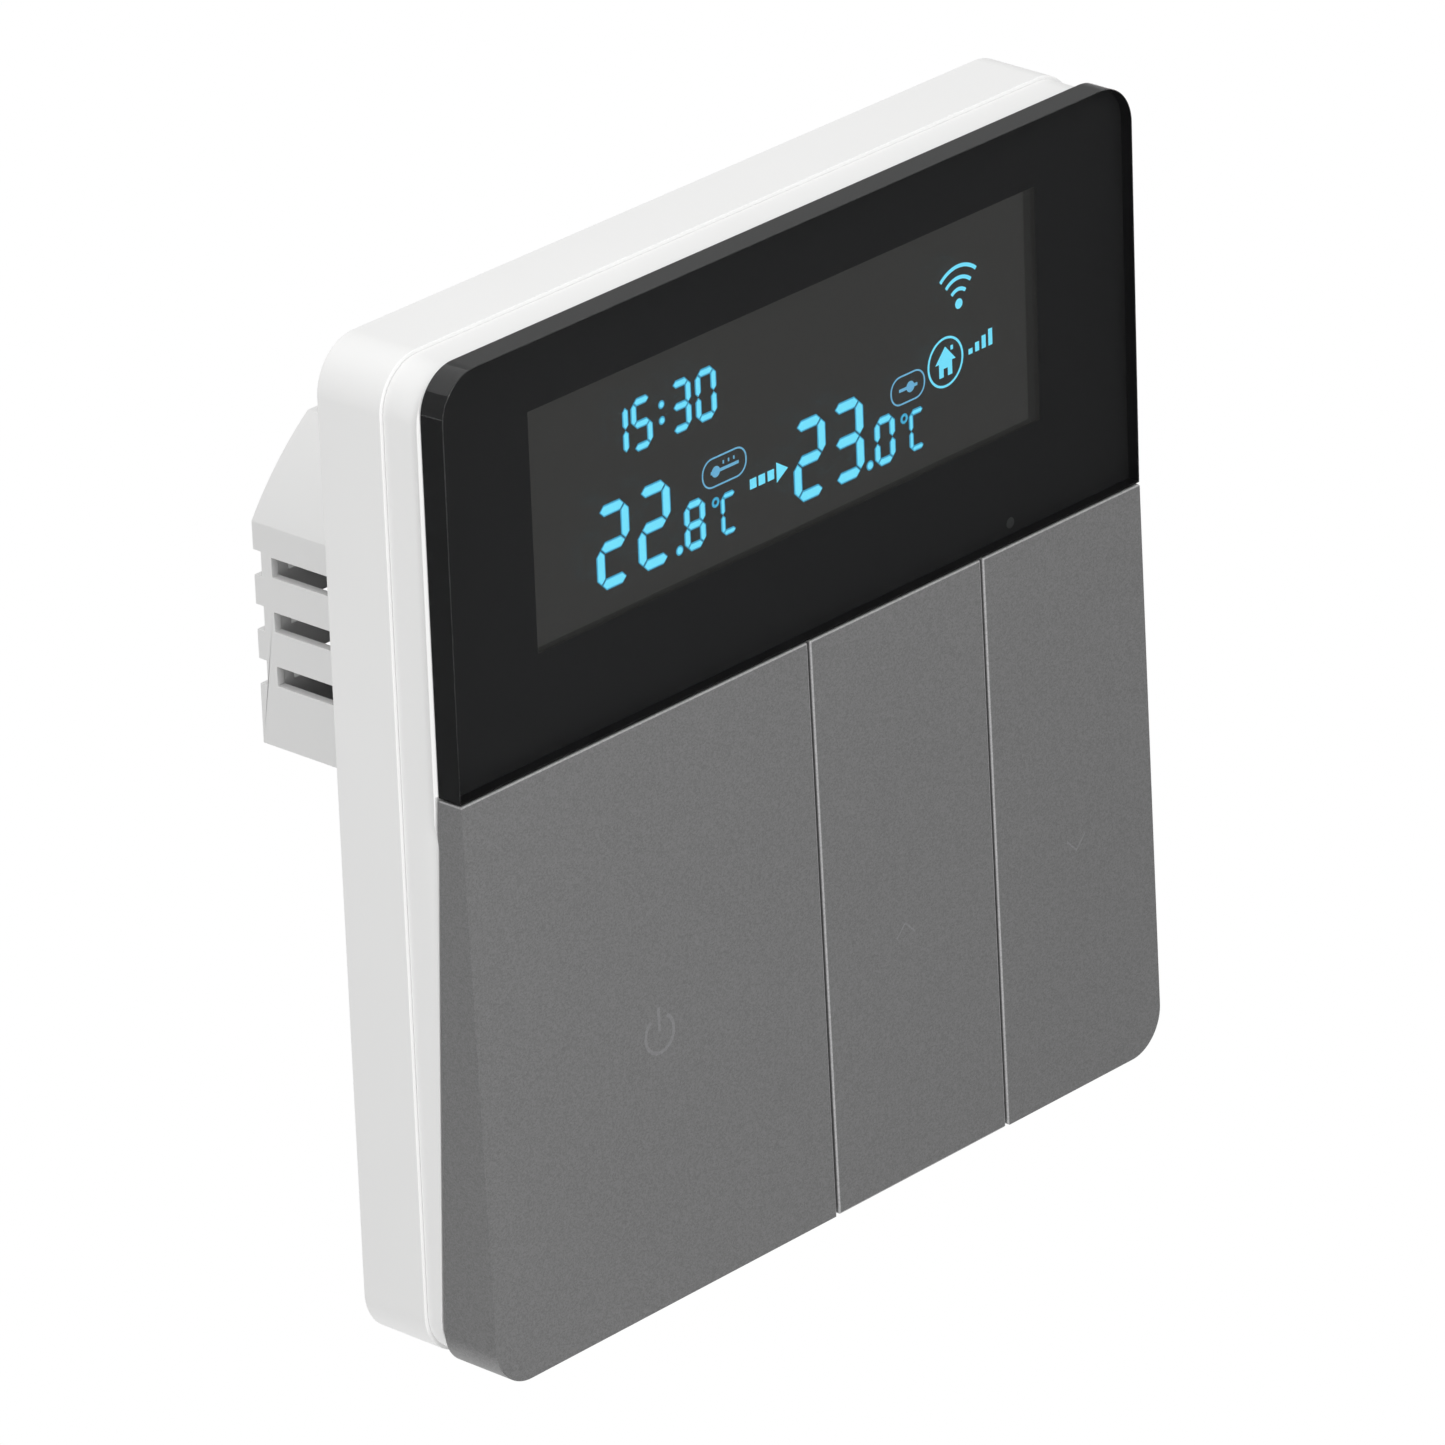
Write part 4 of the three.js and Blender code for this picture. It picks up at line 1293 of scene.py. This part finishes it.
@dataclass(frozen=True)
class Shot:
    """The camera, as a frame of unit axes.

    Args:
        place: Camera position in millimetres.
        right: Axis towards the right of the picture.
        down: Axis towards the foot of the picture.
        ahead: Viewing direction.
        focal: Focal length over picture width.
    """

    place: Triple
    right: Triple
    down: Triple
    ahead: Triple
    focal: float


SHOT = Shot(
    place=(-645.54, -606.70, 391.73),
    right=(0.67113, -0.74055, -0.03418),
    down=(-0.32302, -0.25062, -0.91261),
    ahead=(0.66727, 0.62351, -0.40741),
    focal=7.83896,
)


@dataclass(frozen=True)
class Card:
    """A grey card out of the camera's sight, which the glossy faces see in their reflection.

    Args:
        name: Object name.
        towards: Direction from the part.
        distance: Distance in metres.
        half: Half width and half height in metres.
        glow: Brightness.
    """

    name: str
    towards: Triple
    distance: float
    half: Point2
    glow: float


@dataclass(frozen=True)
class Lamp:
    """A round soft light.

    Args:
        name: Object name.
        place: Position in metres; it points at the part.
        size: Diameter in metres.
        power: Power in watts.
    """

    name: str
    place: Triple
    size: float
    power: float


@dataclass
class Studio:
    """Pale floor, white surroundings, grey cards and large soft lights."""

    floor_z: float = -1.2
    floor_half: float = 8.0
    sky: float = 0.84
    cards: tuple[Card, ...] = (
        Card("front_card", (0.667, -0.6235, -0.407), 0.34, (0.20, 0.17), 0.035),
        Card("side_card", (-0.667, 0.6235, -0.407), 0.34, (0.13, 0.12), 0.02),
        Card("top_card", (0.667, 0.6235, 0.407), 0.34, (0.20, 0.14), 0.40),
        Card("corner_card", (-0.66, 0.6235, 0.27), 0.34, (0.10, 0.12), 0.12),
    )
    lamps: tuple[Lamp, ...] = (
        Lamp("top_soft", (-0.1, 0.1, 1.0), 0.9, 1.9),
        Lamp("front_soft", (-0.25, -0.95, 0.45), 0.7, 4.3),
        Lamp("side_soft", (-0.95, 0.1, 0.15), 0.8, 0.6),
    )

    def build(self) -> None:
        """Builds the whole studio."""
        scene = bpy.context.scene
        scene.view_settings.view_transform = "Standard"
        scene.view_settings.look = "None"
        self._world(scene)
        flat = Matrix.Translation((0.0, 0.0, self.floor_z))
        self._sheet("floor", flat, (self.floor_half, self.floor_half), 1.0)
        for card in self.cards:
            centre = Vector(card.towards).normalized() * card.distance
            facing = (-centre).to_track_quat("Z", "Y").to_matrix().to_4x4()
            sheet = self._sheet(card.name, Matrix.Translation(centre) @ facing, card.half, card.glow)
            sheet.visible_camera = False
        for lamp in self.lamps:
            self._light(lamp)
        self._camera(scene)

    def _world(self, scene: bpy.types.Scene) -> None:
        """Even white surroundings."""
        world = bpy.data.worlds.new("studio")
        world.use_nodes = True
        graph = Graph(world.node_tree)
        sky = graph.node("Background", Color=(1.0, 1.0, 1.0, 1.0), Strength=self.sky)
        graph.node("OutputWorld", Surface=sky.outputs["Background"])
        scene.world = world

    @staticmethod
    def _sheet(name: str, place: Matrix, half: Point2, glow: float) -> bpy.types.Object:
        """Adds a plain glowing sheet that isn't part of the object.

        Args:
            name: Object name.
            place: Where its centre and axes go.
            half: Half width and half height in metres.
            glow: Brightness.

        Returns:
            The sheet.
        """
        bm = bmesh.new()
        scale = Matrix.Diagonal((half[0], half[1], 1.0, 1.0))
        bmesh.ops.create_grid(bm, x_segments=1, y_segments=1, size=1.0, matrix=place @ scale)
        mesh = bpy.data.meshes.new(name)
        bm.to_mesh(mesh)
        bm.free()
        material = bpy.data.materials.new(name)
        material.use_nodes = True
        graph = Graph(material.node_tree)
        light = graph.node("Emission", Color=(1.0, 1.0, 1.0, 1.0), Strength=glow)
        graph.node("OutputMaterial", Surface=light.outputs["Emission"])
        mesh.materials.append(material)
        sheet = bpy.data.objects.new(name, mesh)
        bpy.context.scene.collection.objects.link(sheet)
        return sheet

    @staticmethod
    def _light(spec: Lamp) -> None:
        """Adds a soft light that points at the part."""
        lamp = bpy.data.lights.new(spec.name, "AREA")
        lamp.shape = "DISK"
        lamp.size = spec.size
        lamp.energy = spec.power
        holder = bpy.data.objects.new(spec.name, lamp)
        holder.location = spec.place
        holder.rotation_mode = "QUATERNION"
        holder.rotation_quaternion = (-Vector(spec.place)).to_track_quat("-Z", "Y")
        bpy.context.scene.collection.objects.link(holder)

    @staticmethod
    def _camera(scene: bpy.types.Scene) -> None:
        """Adds the camera."""
        data = bpy.data.cameras.new("camera")
        data.sensor_width = SENSOR_MM
        data.lens = SENSOR_MM * SHOT.focal
        data.clip_start, data.clip_end = 0.05, 50.0
        camera = bpy.data.objects.new("camera", data)
        right, up, back = Vector(SHOT.right), -Vector(SHOT.down), -Vector(SHOT.ahead)
        turn = Matrix((right, up, back)).transposed().to_4x4()
        camera.matrix_world = Matrix.Translation(Vector(SHOT.place) * MM) @ turn
        scene.collection.objects.link(camera)
        scene.camera = camera


# ----------------------------------------------------------------------------- assembly


def main() -> None:
    """Builds the thermostat's looks."""
    logging.basicConfig(level=logging.INFO, format="%(name)s: %(message)s")
    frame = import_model()
    maker = PieceMaker(frame, FinishLibrary())
    for node in sorted(frame["nodes"]):
        maker.refine(node)
    for group in (GlassPrint(maker), DisplayArt(maker), KeyLegends(maker), BoardParts(maker)):
        group.draw()
    Studio().build()


if __name__ == "__main__":
    main()
